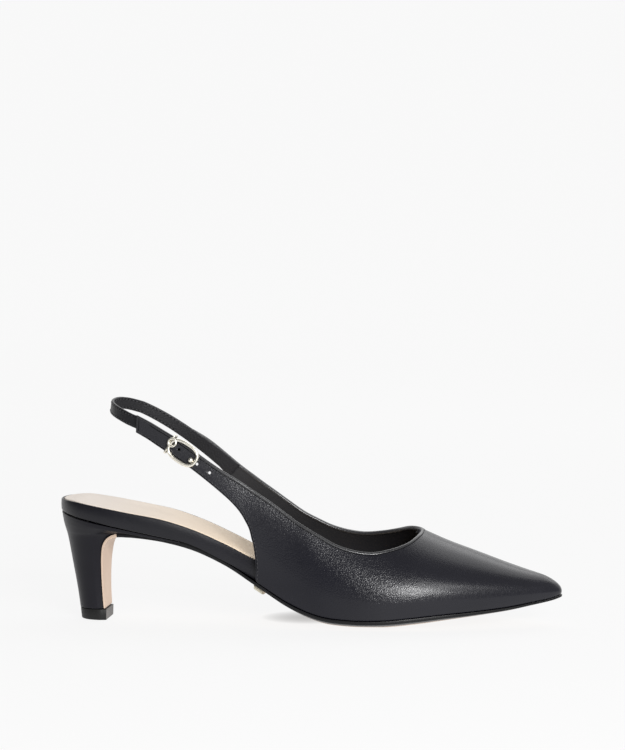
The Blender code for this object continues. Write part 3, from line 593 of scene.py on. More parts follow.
def tube_rings(points, radius, sides, closed=False):
    """Rings of a round wire along points, carried without twist."""
    count = len(points)
    rings = []
    normal = None
    for index in range(count):
        if closed:
            run = points[(index + 1) % count] - points[index - 1]
        else:
            run = points[min(index + 1, count - 1)] - points[max(index - 1, 0)]
        run.normalize()
        if normal is None:
            normal = run.orthogonal()
        normal = (normal - run * normal.dot(run)).normalized()
        other = run.cross(normal)
        ring = []
        for step in range(sides):
            angle = 2 * math.pi * step / sides
            ring.append(points[index] + (normal * math.cos(angle) + other * math.sin(angle)) * radius)
        rings.append(ring)
    return rings


# Buckle, placed on the outer strap by distance along it, across it and out from it


def buckle_centre():
    """Middle of the strap at the buckle's stay."""
    low_x, low_turn, top_x, top_turn = read_table(OUTER_SIDE, BUCKLE_STAY)
    return last_point(place_at((low_x + top_x) / 2), (low_turn + top_turn) / 2, -1)


BUCKLE_CENTRE = buckle_centre()


def on_strap(along, across, out):
    x = BUCKLE_CENTRE.x + along * math.cos(STRAP_SLOPE) - across * math.sin(STRAP_SLOPE)
    z = BUCKLE_CENTRE.z - along * math.sin(STRAP_SLOPE) - across * math.cos(STRAP_SLOPE)
    return wall_point(x, z, -1) + wall_normal(x, z, -1) * out


def hole_places():
    """The holes from the buckle's middle, the used one first."""
    free = [(along * FRAME_LENGTH, across * FRAME_LENGTH) for along, across in HOLES]
    return [(USED_HOLE_ALONG, HOLE_LINE_DROP)] + free


def sling_line():
    """Middle line of the sling strap from its fold at the bar to the inner quarter, with its width axis."""
    depth = -(UPPER_WALL + FIT_GAP + SLING_THICK / 2)
    line = []

    def add_on_strap(along, out):
        width = on_strap(along, -0.001, out) - on_strap(along, 0.001, out)
        line.append((on_strap(along, 0.0, out), width.normalized(), 1.0))

    folded = depth - SLING_THICK - FIT_GAP
    radius = depth - BAR_DEPTH
    add_on_strap(KEEPER_ALONG - 0.0095, folded)
    add_on_strap(KEEPER_ALONG - 0.0065, folded)
    add_on_strap(KEEPER_ALONG - 0.0042, folded - 0.0003)
    add_on_strap(KEEPER_ALONG - 0.0022, BAR_DEPTH - radius + 0.0003)
    for degrees in (-90, -60, -30, 0, 30, 60, 90):
        angle = math.radians(degrees)
        add_on_strap(KEEPER_ALONG + radius * math.cos(angle), BAR_DEPTH + radius * math.sin(angle))
    for along in (-0.0025, -0.0055, -0.0085, -0.0125, -0.0165):
        add_on_strap(KEEPER_ALONG + along, depth)
    loop = []
    for index in range((len(SLING_LOOP) - 1) * 3 + 1):
        x, y, z = read_table(SLING_LOOP, index / 3)
        loop.append(Vector((x * BALL_WIDTH, y * BALL_WIDTH, z * SEAT_HEIGHT)))
    for index, point in enumerate(loop):
        before = loop[max(index - 1, 0)]
        after = loop[min(index + 1, len(loop) - 1)]
        run = (after - before).normalized()
        up = (Vector((0, 0, 1)) - run * run.z).normalized()
        outward = up.cross(run)
        if outward.dot(Vector((point.x - 0.4 * BALL_WIDTH, point.y, 0.0))) < 0:
            outward.negate()
        line.append((point, up * math.cos(SLING_TILT) - outward * math.sin(SLING_TILT), 1.0))
    for x, z, share in SLING_INNER:
        x = HEEL_BACK_X + x * SHOE_LENGTH
        z = z * SEAT_HEIGHT
        point = wall_point(x, z, 1) + wall_normal(x, z, 1) * depth
        width = wall_point(x + 0.0006, z + 0.001, 1) - wall_point(x - 0.0006, z - 0.001, 1)
        line.append((point, width.normalized(), share))
    return line


def board_under(row, across):
    """Underside of the board: on the heel's seat, then on the sole from just ahead of the heel's wing."""
    if row["x"] < WING_END_X + 2 * FIT_GAP:
        return SEAM_HEIGHT - SEAM_SLOPE * row["x"] + FIT_GAP
    return under_height(row, across) + row["sole"] + FIT_GAP


def board_top(row, across):
    return row["bed"] + 0.4 * (row["edge"] - row["middle"]) * crown_share(across)


def sole_reach(share):
    for (start, first), (end, second) in zip(SOLE_REACH, SOLE_REACH[1:]):
        if share <= end:
            blend = clamp((share - start) / (end - start))
            return (first + (second - first) * blend) * BALL_WIDTH
    return SOLE_REACH[-1][1] * BALL_WIDTH


# Meshes


def grid_through(rows, ring=False, loop=False, ends=False, slot_of=None):
    """A mesh through rows of points, bent from one grid. ring closes each row, loop joins the last row to
    the first, ends fills the first and last row."""
    across = len(rows[0]) if ring else len(rows[0]) - 1
    along = len(rows) if loop else len(rows) - 1
    mesh = bmesh.new()
    bmesh.ops.create_grid(mesh, x_segments=across, y_segments=along, size=0.5)
    for index, vert in enumerate(mesh.verts):
        row, column = divmod(index, across + 1)
        vert.co = rows[row % len(rows)][column % len(rows[0])]
    if slot_of:
        for index, face in enumerate(mesh.faces):
            face.material_index = slot_of(index % across, index // across)
    if ring or loop:
        bmesh.ops.remove_doubles(mesh, verts=mesh.verts, dist=1e-6)
    if ends:
        bmesh.ops.holes_fill(mesh, edges=[edge for edge in mesh.edges if edge.is_boundary], sides=0)
    bmesh.ops.recalc_face_normals(mesh, faces=mesh.faces)
    return mesh


def round_edges(mesh, angle, width, segments):
    """Bevels the edges that turn by more than an angle in degrees."""
    sharp = [e for e in mesh.edges if e.is_manifold and e.calc_face_angle() > math.radians(angle)]
    size = {"offset": width, "offset_type": "OFFSET", "segments": segments, "profile": 0.5}
    bmesh.ops.bevel(mesh, geom=sharp, affect="EDGES", clamp_overlap=True, material=-1, **size)


def new_piece(name, mesh, materials, nodes=()):
    """An object from a finished mesh that rides with the shoe and may stand for frame nodes."""
    for face in mesh.faces:
        face.smooth = True
    piece = add_object(name, mesh_data(name, mesh))
    for material in materials:
        piece.data.materials.append(material)
    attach(piece, "root")
    if nodes:
        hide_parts(*nodes)
    return piece


def cut_with(piece, mesh):
    """Adds the cut of a mesh to the modifiers of a piece."""
    tool = add_object("cutting_tool", mesh_data("cutting_tool", mesh))
    cut = piece.modifiers.new("Cut", "BOOLEAN")
    cut.operation = "DIFFERENCE"
    cut.solver = "MANIFOLD"
    cut.object = tool
    return tool


def settle(piece, tools):
    """Applies the modifiers of a piece to its mesh and clears away the tools."""
    graph = bpy.context.evaluated_depsgraph_get()
    data = bpy.data.meshes.new_from_object(piece.evaluated_get(graph))
    piece.modifiers.clear()
    piece.data = data
    for tool in tools:
        bpy.data.objects.remove(tool)


def join_mesh(mesh, other):
    """Adds another mesh to this one."""
    data = mesh_data("joined", other)
    mesh.from_mesh(data)
    bpy.data.meshes.remove(data)


def rod(points, radius, sides=12, closed=False):
    rings = tube_rings(points, radius, sides, closed)
    if closed:
        last, first = rings[-1], rings[0]
        shift = min(range(sides), key=lambda n: (first[n] - last[0]).length)
        twist = shift if shift <= sides / 2 else shift - sides
        angle = twist * 2 * math.pi / sides
        turned = []
        for index, ring in enumerate(rings):
            centre = sum(ring, Vector()) / sides
            after = points[(index + 1) % len(points)]
            run = (after - points[index - 1]).normalized()
            turn = Matrix.Rotation(angle * index / len(rings), 3, run)
            turned.append([centre + turn @ (point - centre) for point in ring])
        rings = turned
    return grid_through(rings, ring=True, loop=closed, ends=not closed)


def finer(points, steps):
    """Points on a smooth curve through the given ones."""
    count = (len(points) - 1) * steps
    return [Vector(read_table(points, index / steps)) for index in range(count + 1)]


def eased(points, start, rounds):
    """Evens out a line from one of its points on, its end kept."""
    points = list(points)
    for _ in range(rounds):
        for index in range(start, len(points) - 1):
            points[index] = (points[index - 1] + points[index] * 2 + points[index + 1]) / 4
    return points


def evenly(points, pitch):
    """Places at even distances along a line, each with its direction."""
    found = []
    left = pitch / 2
    for start, end in zip(points, points[1:]):
        length = (end - start).length
        while left <= length and length > 0:
            found.append((start.lerp(end, left / length), (end - start).normalized()))
            left += pitch
        left -= length
    return found


# Materials


def new_group(name, inputs, outputs):
    group = bpy.data.node_groups.new(name, "ShaderNodeTree")
    for label, value in inputs:
        socket = group.interface.new_socket(label, in_out="INPUT", socket_type="NodeSocketFloat")
        socket.default_value = value
    for label in outputs:
        group.interface.new_socket(label, in_out="OUTPUT", socket_type="NodeSocketFloat")
    return group, group.nodes.new("NodeGroupInput"), group.nodes.new("NodeGroupOutput")


def set_inputs(node, values):
    for name, value in values.items():
        node.inputs[name].default_value = value


def shaded_point(tree, kind="Object"):
    """X, Y and Z of the point that is shaded."""
    split = tree.nodes.new("ShaderNodeSeparateXYZ")
    tree.links.new(tree.nodes.new("ShaderNodeTexCoord").outputs[kind], split.inputs[0])
    return split.outputs


def add_math(tree, operation, first, second):
    node = tree.nodes.new("ShaderNodeMath")
    node.operation = operation
    for index, value in enumerate((first, second)):
        if isinstance(value, (int, float)):
            node.inputs[index].default_value = value
        else:
            tree.links.new(value, node.inputs[index])
    return node.outputs[0]


def add_ramp(tree, value, low, high, start=0.0, end=1.0):
    node = tree.nodes.new("ShaderNodeMapRange")
    set_inputs(node, {"From Min": low, "From Max": high, "To Min": start, "To Max": end})
    tree.links.new(value, node.inputs["Value"])
    return node.outputs["Result"]


def add_noise(tree, coordinates, scale, detail=2.0, output="Fac"):
    node = tree.nodes.new("ShaderNodeTexNoise")
    set_inputs(node, {"Scale": scale, "Detail": detail})
    tree.links.new(coordinates, node.inputs["Vector"])
    return node.outputs[output]


def build_grain_group():
    """Fine grain of calf leather: small rounded cells, valleys and pores, and a slow change of tone."""
    group, given, out = new_group(
        "calf_grain", [("Cells per metre", 1500.0), ("Pore share", 0.35)], ["Height", "Tone", "Fleck"]
    )
    where = group.nodes.new("ShaderNodeTexCoord").outputs["Object"]
    push = group.nodes.new("ShaderNodeVectorMath")
    push.operation = "SCALE"
    push.inputs["Scale"].default_value = 0.0011
    group.links.new(add_noise(group, where, 520.0, 2.0, "Color"), push.inputs[0])
    moved = group.nodes.new("ShaderNodeVectorMath")
    moved.operation = "ADD"
    group.links.new(where, moved.inputs[0])
    group.links.new(push.outputs["Vector"], moved.inputs[1])
    cells = group.nodes.new("ShaderNodeTexVoronoi")
    cells.feature = "SMOOTH_F1"
    cells.inputs["Smoothness"].default_value = 0.25
    group.links.new(moved.outputs["Vector"], cells.inputs["Vector"])
    group.links.new(given.outputs["Cells per metre"], cells.inputs["Scale"])
    domes = add_ramp(group, cells.outputs["Distance"], 0.0, 0.75, 1.0, 0.0)
    pores = add_math(group, "MULTIPLY", add_noise(group, where, 4200.0), given.outputs["Pore share"])
    group.links.new(add_math(group, "ADD", domes, pores), out.inputs["Height"])
    for label, scale, low, high in (("Tone", 26.0, 0.3, 0.7), ("Fleck", 900.0, 0.38, 0.64)):
        noise = add_noise(group, where, scale, 3.0)
        group.links.new(add_ramp(group, noise, low, high), out.inputs[label])
    return group


def start_material(name):
    material = bpy.data.materials.new(name)
    material.use_nodes = True
    return material, material.node_tree, material.node_tree.nodes["Principled BSDF"]


def mix_colors(tree, factor, first, second):
    node = tree.nodes.new("ShaderNodeMix")
    node.data_type = "RGBA"
    for socket, value in ((node.inputs[6], first), (node.inputs[7], second)):
        if isinstance(value, tuple):
            socket.default_value = (*value, 1.0)
        else:
            tree.links.new(value, socket)
    tree.links.new(factor, node.inputs[0])
    return node.outputs[2]


def add_bump(tree, shader, height, strength, distance):
    bump = tree.nodes.new("ShaderNodeBump")
    set_inputs(bump, {"Strength": strength, "Distance": distance})
    tree.links.new(height, bump.inputs["Height"])
    tree.links.new(bump.outputs["Normal"], shader.inputs["Normal"])


def leather(grain, name, dark, light, rough, depth, specular, cells=1500.0, coat=0.0, fleck=0.02):
    """Smooth leather: two close tones, gloss broken by the grain, and a shallow grain in relief."""
    material, tree, shader = start_material(name)
    node = tree.nodes.new("ShaderNodeGroup")
    node.node_tree = grain
    node.inputs["Cells per metre"].default_value = cells
    color = mix_colors(tree, node.outputs["Tone"], dark, light)
    tree.links.new(color, shader.inputs["Base Color"])
    gloss = add_ramp(tree, node.outputs["Fleck"], 0.0, 1.0, rough - fleck, rough + fleck * 1.4)
    tree.links.new(gloss, shader.inputs["Roughness"])
    shader.inputs["Specular IOR Level"].default_value = specular
    if coat:
        set_inputs(shader, {"Coat Weight": coat, "Coat Roughness": 0.22})
    add_bump(tree, shader, node.outputs["Height"], depth, 0.00016)
    return material


def fade_to(material, axis, low, high, color):
    """Lets the colour of a material go over to another one between two places."""
    tree = material.node_tree
    base = tree.nodes["Principled BSDF"].inputs["Base Color"]
    share = add_ramp(tree, shaded_point(tree)[axis], low, high)
    tree.links.new(mix_colors(tree, share, base.links[0].from_socket, color), base)


def vary_calf(material):
    """Calf with less gloss low down behind the ball, and a grain deepest at the ball, faint at the toe."""
    tree = material.node_tree
    shader = tree.nodes["Principled BSDF"]
    spot = shaded_point(tree)
    front = add_ramp(tree, spot["X"], 0.115, 0.150)
    above = add_ramp(tree, spot["Z"], 0.022, 0.048)
    glossy = add_math(tree, "MAXIMUM", front, above)
    tree.links.new(add_ramp(tree, glossy, 0.0, 1.0, 0.20, 0.38), shader.inputs["Specular IOR Level"])
    bump = shader.inputs["Normal"].links[0].from_node
    rise = add_ramp(tree, spot["X"], 0.105, 0.140, 0.34, 0.46)
    fall = add_ramp(tree, spot["X"], 0.148, 0.182, 0.0, 0.32)
    tree.links.new(add_math(tree, "SUBTRACT", rise, fall), bump.inputs["Strength"])


def build_gold():
    """Pale polished metal with a faint haze."""
    material, tree, shader = start_material("pale_gold_plate")
    where = tree.nodes.new("ShaderNodeTexCoord").outputs["Object"]
    haze = add_noise(tree, where, 900.0, 3.0)
    color = mix_colors(tree, haze, (0.90, 0.86, 0.75), (0.96, 0.93, 0.84))
    tree.links.new(color, shader.inputs["Base Color"])
    shader.inputs["Metallic"].default_value = 1.0
    tree.links.new(add_ramp(tree, haze, 0.3, 0.7, 0.26, 0.36), shader.inputs["Roughness"])
    add_bump(tree, shader, haze, 0.05, 0.00005)
    return material


def build_materials():
    grain = build_grain_group()
    kinds = {kind: leather(grain, *look) for kind, look in LEATHERS.items()}
    # Painted light: the calf goes lighter from low on the quarter up to the strap, for the sheen that falls
    # on the high parts.
    fade_to(kinds["upper"], "Z", 0.037, 0.100, (0.030, 0.030, 0.034))
    vary_calf(kinds["upper"])
    # Painted shade: the lining is darker deep inside the shoe and lighter toward the topline.
    fade_to(kinds["lining"], "Z", 0.045, 0.078, (0.032, 0.032, 0.035))
    # Toward the front the sock turns warmer and lighter. The lightness is painted light that offsets the
    # shade of the quarters.
    fade_to(kinds["sock"], "X", 0.0, 0.075, (0.98, 0.80, 0.60))
    kinds["gold"] = build_gold()
    return kinds


# Upper


def side_places(table):
    """Place and turn of the lower and the upper edge of one side, from the strap end to the throat."""
    rows = []
    for index in range((len(table) - 1) * SIDE_STEPS + 1):
        low_x, low_turn, top_x, top_turn = read_table(table, index / SIDE_STEPS)
        rows.append((place_at(low_x), max(low_turn, -1.0), place_at(top_x), min(top_turn, 1.0)))
    return rows


def side_rows(table, side, front):
    """Rows of one side of the upper from the strap end to the toe, each from its lower to its upper edge."""
    lines = []
    for low, low_turn, top, top_turn in side_places(table) + [(place, -1.0, place, 1.0) for place in front]:
        line = []
        for column in range(SIDE_COLUMNS + 1):
            share = column / SIDE_COLUMNS
            turn = low_turn + (top_turn - low_turn) * share
            line.append(last_point(low + (top - low) * share, turn, side))
        lines.append(line)
    return lines


def upper_sheet():
    """The outer face of the upper, both sides joined along the ridge and the toe."""
    throat = place_at(OUTER_SIDE[-1][0])
    front = [throat + (LAST_END - throat) * (index + 1) / FRONT_ROWS for index in range(FRONT_ROWS)]
    mesh = grid_through(side_rows(OUTER_SIDE, -1, front))
    join_mesh(mesh, grid_through(side_rows(INNER_SIDE, 1, front)))
    bmesh.ops.remove_doubles(mesh, verts=mesh.verts, dist=2e-5)
    bmesh.ops.recalc_face_normals(mesh, faces=mesh.faces)
    inner = [vert for vert in mesh.verts if not vert.is_boundary]
    axes = {"use_axis_x": True, "use_axis_y": True, "use_axis_z": True}
    for _ in range(3):
        bmesh.ops.smooth_vert(mesh, verts=inner, factor=0.5, **axes)
    probe = max(mesh.faces, key=lambda face: face.calc_center_median().z)
    if probe.normal.y * probe.calc_center_median().y < 0:
        bmesh.ops.reverse_faces(mesh, faces=mesh.faces)
    mesh.normal_update()
    return mesh


def build_upper(kinds):
    mesh = upper_sheet()
    tree = BVHTree.FromBMesh(mesh)
    piece = new_piece("upper_leather", mesh, [kinds["upper"], kinds["lining"]], ["upper"])
    wall = piece.modifiers.new("Wall", "SOLIDIFY")
    wall.thickness = UPPER_WALL
    wall.offset = -1.0
    wall.use_even_offset = True
    wall.material_offset = 1
    wall.material_offset_rim = 0
    tools = []
    for along, across in hole_places():
        ends = [on_strap(along, across, out * UPPER_WALL) for out in (-2.5, 2.5)]
        tools.append(cut_with(piece, rod(ends, HOLE_DIAMETER / 2, 20)))
    soft = piece.modifiers.new("Edge", "BEVEL")
    soft.width = EDGE_ROUND
    soft.segments = 2
    soft.limit_method = "ANGLE"
    soft.angle_limit = math.radians(55)
    settle(piece, tools)
    return tree


def edge_lines(table, side):
    """Top and low cut edges of one side of the upper, the low one as far as it lies above the feather."""
    places = side_places(table)
    tops = [last_point(top, top_turn, side) for _, _, top, top_turn in places]
    lows = [last_point(low, low_turn, side) for low, low_turn, _, _ in places if low_turn > -0.97]
    return tops, lows


def inward_frames(points, tree, first_way):
    """For each point of an edge: the point, the surface normal and the way into the leather."""
    frames = []
    sign = 0.0
    for index, point in enumerate(points):
        before, after = neighbours(points, index)
        normal = tree.find_nearest(point)[1]
        way = (after - before).normalized().cross(normal).normalized()
        if not sign:
            sign = 1.0 if way.dot(first_way) > 0 else -1.0
        frames.append((point, normal, way * sign))
    return frames


def steadied(frames, rounds):
    """The same frames with their directions evened out along the edge."""
    for _ in range(rounds):
        turned = []
        for index, (point, normal, way) in enumerate(frames):
            before, after = neighbours(frames, index)
            normal = (before[1] + normal * 2 + after[1]).normalized()
            way = (before[2] + way * 2 + after[2]).normalized()
            turned.append((point, normal, way))
        frames = turned
    return frames


def on_leather(tree, point, out):
    """The leather's nearest spot to a point, moved out by a distance."""
    spot, facing, _, _ = tree.find_nearest(point)
    return spot + facing * out


def surface_line(frames, tree, inset, out=0.0):
    """A line on the leather at a distance in from its edge."""
    return [on_leather(tree, point + way * inset, out) for point, _, way in frames]


def build_binding(kinds, tree, frames):
    """The narrow binding folded over the topline."""
    drop = BINDING_DROP
    proud = BINDING_PROUD
    wall = UPPER_WALL
    profile = [
        (drop * 1.06, -0.0002),
        (drop * 1.03, proud * 0.45),
        (drop * 0.90, proud * 0.85),
        (drop * 0.62, proud * 1.0),
        (drop * 0.30, proud * 1.0),
        (0.0, proud * 0.72),
        (-drop * 0.15, proud * 0.10),
        (-drop * 0.22, -wall * 0.30),
        (-drop * 0.22, -wall * 0.62),
        (-drop * 0.12, -wall * 0.95),
        (drop * 0.15, -wall - proud * 0.85),
        (drop * 0.60, -wall - proud * 0.95),
        (drop * 0.95, -wall - proud * 0.50),
        (drop * 1.02, -wall + 0.0002),
        (drop * 0.80, -wall * 0.62),
        (drop * 0.80, -wall * 0.38),
    ]
    rows = []
    last = len(frames) - 1
    for index, (point, normal, way) in enumerate(frames):
        size = 0.55 + 0.45 * min(index / 30, (last - index) / 24, 1.0)
        row = []
        for inset, out in profile:
            lift = out if out < 0 else out * size
            if inset > 0:
                row.append(on_leather(tree, point + way * inset * size, lift))
            else:
                row.append(point + way * inset * size + normal * lift)
        rows.append(row)
    mesh = grid_through(rows, ring=True, ends=True)
    new_piece("topline_binding", mesh, [kinds["binding"]])
    # Painted shade: a near-black line along the binding's lower edge, for the groove under it.
    line = surface_line(frames[8:-8], tree, drop * 1.04 + 0.0001, 0.00002)
    new_piece("binding_groove_shade", rod(line, 0.00014, 6), [kinds["groove"]])


def add_stitches(mesh, line, facing_of, sink=0.35):
    """Short rounded stitches along a line, half sunk in the leather."""
    for spot, run in evenly(line, STITCH_PITCH):
        normal = facing_of(spot)
        side = normal.cross(run).normalized()
        normal = run.cross(side).normalized()
        turn = Matrix((run, side, normal)).transposed().to_4x4()
        size = Matrix.Diagonal((STITCH_LENGTH / 2, THREAD_RADIUS * 1.15, THREAD_RADIUS, 1.0))
        move = Matrix.Translation(spot + normal * THREAD_RADIUS * sink)
        bmesh.ops.create_uvsphere(mesh, u_segments=6, v_segments=5, radius=1.0, matrix=move @ turn @ size)


# Straps and buckle


def sling_ring(point, width, thick, half, half_thick):
    """A section of the sling strap: round corners, and three points across each face."""
    corner = half_thick * 0.7
    ring = []
    for side_a, side_b, start in ((1, 1, 0), (-1, 1, 90), (-1, -1, 180), (1, -1, 270)):
        for step in range(5):
            angle = math.radians(start + step * 22.5)
            a = side_a * (half - corner) + corner * math.cos(angle)
            b = side_b * (half_thick - corner) + corner * math.sin(angle)
            ring.append(point + width * a + thick * b)
        if side_b == side_a:
            for share in (0.25, 0.5, 0.75):
                a = side_a * (half - corner) * (1 - 2 * share)
                ring.append(point + width * a + thick * side_b * half_thick)
    return ring


def sling_frames():
    """Point, width axis, thickness axis, half width and half thickness all along the sling strap."""
    line = sling_line()
    start = 12 * SLING_STEPS
    middle = eased(finer([tuple(point) for point, _, _ in line], SLING_STEPS), start, 12)
    widths = eased(finer([tuple(width) for _, width, _ in line], SLING_STEPS), start, 40)
    shares = [(share,) for _, _, share in line]
    frames = []
    for index, point in enumerate(middle):
        before, after = neighbours(middle, index)
        run = (after - before).normalized()
        width = widths[index]
        width = (width - run * width.dot(run)).normalized()
        half = SLING_WIDTH * read_table(shares, index / SLING_STEPS)[0] / 2
        thin = min(0.45 + 0.55 * (len(middle) - 1 - index) / (4 * SLING_STEPS), 1.0)
        frames.append((point, width, run.cross(width), half, SLING_THICK / 2 * thin))
    return frames


def notch_mesh():
    """What is cut from the strap's fold, so that the prong can pass."""
    rings = []
    for along, low, high in ((-0.0020, -0.0080, -0.0030), (0.0030, -0.0080, -0.0012)):
        corners = ((-0.0009, low), (0.0013, low), (0.0013, high), (-0.0009, high))
        rings.append([on_strap(KEEPER_ALONG + along, across, out) for across, out in corners])
    return grid_through(rings, ring=True, ends=True)


def build_sling(kinds):
    frames = sling_frames()
    inner = 4 if frames[len(frames) * 3 // 4][2].y < 0 else 17

    def slot_of(column, row):
        return 1 if row > 55 and inner <= column < inner + 4 else 0

    mesh = grid_through([sling_ring(*frame) for frame in frames], ring=True, ends=True, slot_of=slot_of)
    materials = [kinds["strap"], kinds["strap_inner"]]
    piece = new_piece("sling_leather", mesh, materials, ["sling_strap"])
    settle(piece, [cut_with(piece, notch_mesh())])
    stitches = bmesh.new()
    grooves = bmesh.new()
    for side, face in ((-1, -1), (-1, 1), (1, -1), (1, 1)):
        rows = []
        for point, width, thick, half, _ in frames[16 * SLING_STEPS : -4 * SLING_STEPS]:
            spot = point + width * side * (half - STRAP_STITCH_IN) + thick * face * SLING_THICK / 2
            rows.append((spot, thick * face))
        path = [spot for spot, _ in rows]

        def facing(spot, rows=rows):
            return min(rows, key=lambda row: (row[0] - spot).length_squared)[1]

        add_stitches(stitches, path, facing)
        # Painted shade: near-black lines along the stitches, for their grooves.
        join_mesh(grooves, rod(path, 0.00013, 6))
    new_piece("sling_stitches", stitches, [kinds["thread"]])
    new_piece("sling_groove_shades", grooves, [kinds["groove"]])


def frame_points(out):
    """The buckle frame's wire, a rectangle with full round corners."""
    points = []
    for index in range(96):
        angle = 2 * math.pi * index / 96
        sides = []
        for value, size in ((math.cos(angle), FRAME_LENGTH), (math.sin(angle), FRAME_WIDTH)):
            sides.append(math.copysign(abs(value) ** 0.75, value) * (size - FRAME_WIRE) / 2)
        points.append(on_strap(*sides, out))
    return points


def keeper_points():
    """The keeper's wire round the straps, from the bar behind them to the front."""
    corner = 0.0006
    low, high = BAR_DEPTH + corner, FIT_GAP + KEEPER_WIRE / 2 + 0.0001 - corner
    points = []
    for side_a, level, start in ((1, high, 90), (1, low, 0), (-1, low, -90), (-1, high, -180)):
        for step in range(7):
            angle = math.radians(start - step * 15)
            across = side_a * (KEEPER_HALF - corner) + corner * math.cos(angle)
            points.append(on_strap(KEEPER_ALONG, across, level + corner * math.sin(angle)))
    return points


def ring_points(out):
    radius = (RING_DIAMETER - RING_WIRE) / 2
    points = []
    for index in range(48):
        angle = 2 * math.pi * index / 48
        along = RING_ALONG + radius * math.cos(angle)
        points.append(on_strap(along, RING_ACROSS + radius * math.sin(angle), out))
    return points


def prong_points():
    """The prong's wire: hooked round the bar, along behind the strap and out through the used hole."""
    hook = KEEPER_WIRE / 2 + 0.0001 + PRONG_WIRE / 2
    path = []
    for degrees in range(-60, -270, -20):
        angle = math.radians(degrees)
        path.append((KEEPER_ALONG + hook * math.cos(angle), BAR_DEPTH + hook * math.sin(angle)))
    under = -UPPER_WALL - FIT_GAP - PRONG_WIRE / 2 - 0.0001
    path += [
        (KEEPER_ALONG + 0.0020, under - 0.0003),
        (KEEPER_ALONG + 0.0040, under),
        (USED_HOLE_ALONG - 0.0012, under),
        (USED_HOLE_ALONG - 0.0003, under + 0.0002),
        (USED_HOLE_ALONG, under + 0.0008),
        (USED_HOLE_ALONG, 0.0006),
    ]
    places = []
    for along, out in path:
        share = clamp((along - KEEPER_ALONG) / (USED_HOLE_ALONG - KEEPER_ALONG))
        places.append(tuple(on_strap(along, HOLE_LINE_DROP * share, out)))
    return finer(places, 3)


def build_buckle(kinds):
    out = FIT_GAP + FRAME_WIRE / 2
    mesh = rod(frame_points(out), FRAME_WIRE / 2, 16, closed=True)
    join_mesh(mesh, rod(keeper_points(), KEEPER_WIRE / 2, 14, closed=True))
    join_mesh(mesh, rod(ring_points(out + 0.0004), RING_WIRE / 2, 14, closed=True))
    new_piece("buckle_wire", mesh, [kinds["gold"]], ["buckle_frame"])
    mesh = rod(prong_points(), PRONG_WIRE / 2, 12)
    centre = on_strap(USED_HOLE_ALONG + BALL_SHIFT, HOLE_LINE_DROP, FIT_GAP + PRONG_TIP / 2)
    place = Matrix.Translation(centre)
    bmesh.ops.create_uvsphere(mesh, u_segments=24, v_segments=16, radius=PRONG_TIP * BALL_SIZE, matrix=place)
    new_piece("buckle_pin", mesh, [kinds["gold"]], ["buckle_prong"])
    # Painted shade: a near-black plug in the first free hole, for the strap layer behind it lying in shade.
    along, across = hole_places()[1]
    ends = [on_strap(along, across, -UPPER_WALL * depth) for depth in (0.9, 0.45)]
    new_piece("hole_backing_shade", rod(ends, HOLE_DIAMETER / 2 - 0.00002, 16), [kinds["groove"]])


# Insole


def layer_ring(place, section):
    """A ring across a layer. section: distance in from the outline, share across, height function."""
    ring = []
    edges = {}
    for inset, across, height in section:
        if inset not in edges:
            outer, row = outline_point(place, -1, -inset)
            inner, _ = outline_point(place, 1, -inset)
            edges[inset] = (outer, inner, row)
        outer, inner, row = edges[inset]
        point = outer.lerp(inner, (across + 1) / 2)
        ring.append(Vector((point.x, point.y, height(row, across))))
    return ring


def fine_places():
    """Places along a layer, closer together at its two ends, with a step at the heel's wing."""
    ends = [place_at(share_of(WING_END_X + gaps * FIT_GAP)) for gaps in (1, 3)]
    places = []
    for index in range(LAYER_STEPS + 1):
        share = index / LAYER_STEPS
        slow = share - math.sin(2 * math.pi * share) / (2 * math.pi) * 0.75
        places.append(LAST_END * (0.002 + 0.996 * slow))
    places = [place for place in places if min(abs(place - end) for end in ends) > 0.03]
    return sorted(places + ends)


def shares_across(count):
    return [-1.0 + 2.0 * index / count for index in range(count + 1)]


def below_top(down):
    return lambda row, across: board_top(row, across) - down


def above_under(rise):
    return lambda row, across: board_under(row, across) + wing_lift(row["x"]) + rise


def layer_mesh(section, places):
    return grid_through([layer_ring(place, section) for place in places], ring=True, ends=True)


def build_board(kinds):
    """The board in its black cover, with the rim that stands round the sock."""

    def half_way(row, across):
        return (board_top(row, across) + board_under(row, across)) / 2

    turn = 0.0004
    rim_top = below_top(-0.00012)
    wall = [
        (turn * 0.3, above_under(turn * 0.3)),
        (0.0, above_under(turn)),
        (-0.0001, half_way),
        (0.0, below_top(turn * 1.2)),
        (turn * 0.3, below_top(turn * 0.35)),
        (turn * 0.9, rim_top),
        (turn * 1.7, rim_top),
        (RIM_WIDTH, below_top(turn * 0.4)),
    ]
    shares = shares_across(14)
    floor = below_top(SOCK_THICK + FIT_GAP)
    section = [(BOARD_INSET + turn, share, above_under(0.0)) for share in shares]
    section += [(BOARD_INSET + inset, 1.0, height) for inset, height in wall]
    section += [(BOARD_INSET + RIM_WIDTH + 0.0001, share, floor) for share in reversed(shares)]
    section += [(BOARD_INSET + inset, -1.0, height) for inset, height in reversed(wall)]
    mesh = layer_mesh(section, fine_places())
    new_piece("insole_cover", mesh, [kinds["band"]], ["insole_board"])


def build_sock(kinds):
    inset = BOARD_INSET + RIM_WIDTH + 0.0002
    edge = [(inset, below_top(-0.00005)), (inset + 0.0002, below_top(-0.00028))]
    shares = shares_across(24)
    section = [(inset, share, below_top(SOCK_THICK)) for share in shares]
    section += [(place, 1.0, height) for place, height in edge]
    section += [(inset + 0.0006, share, below_top(-0.00038)) for share in reversed(shares)]
    section += [(place, -1.0, height) for place, height in reversed(edge)]
    mesh = layer_mesh(section, fine_places()[2:-2])
    new_piece("sock_lining", mesh, [kinds["sock"]], ["insole_sock"])


# Outsole


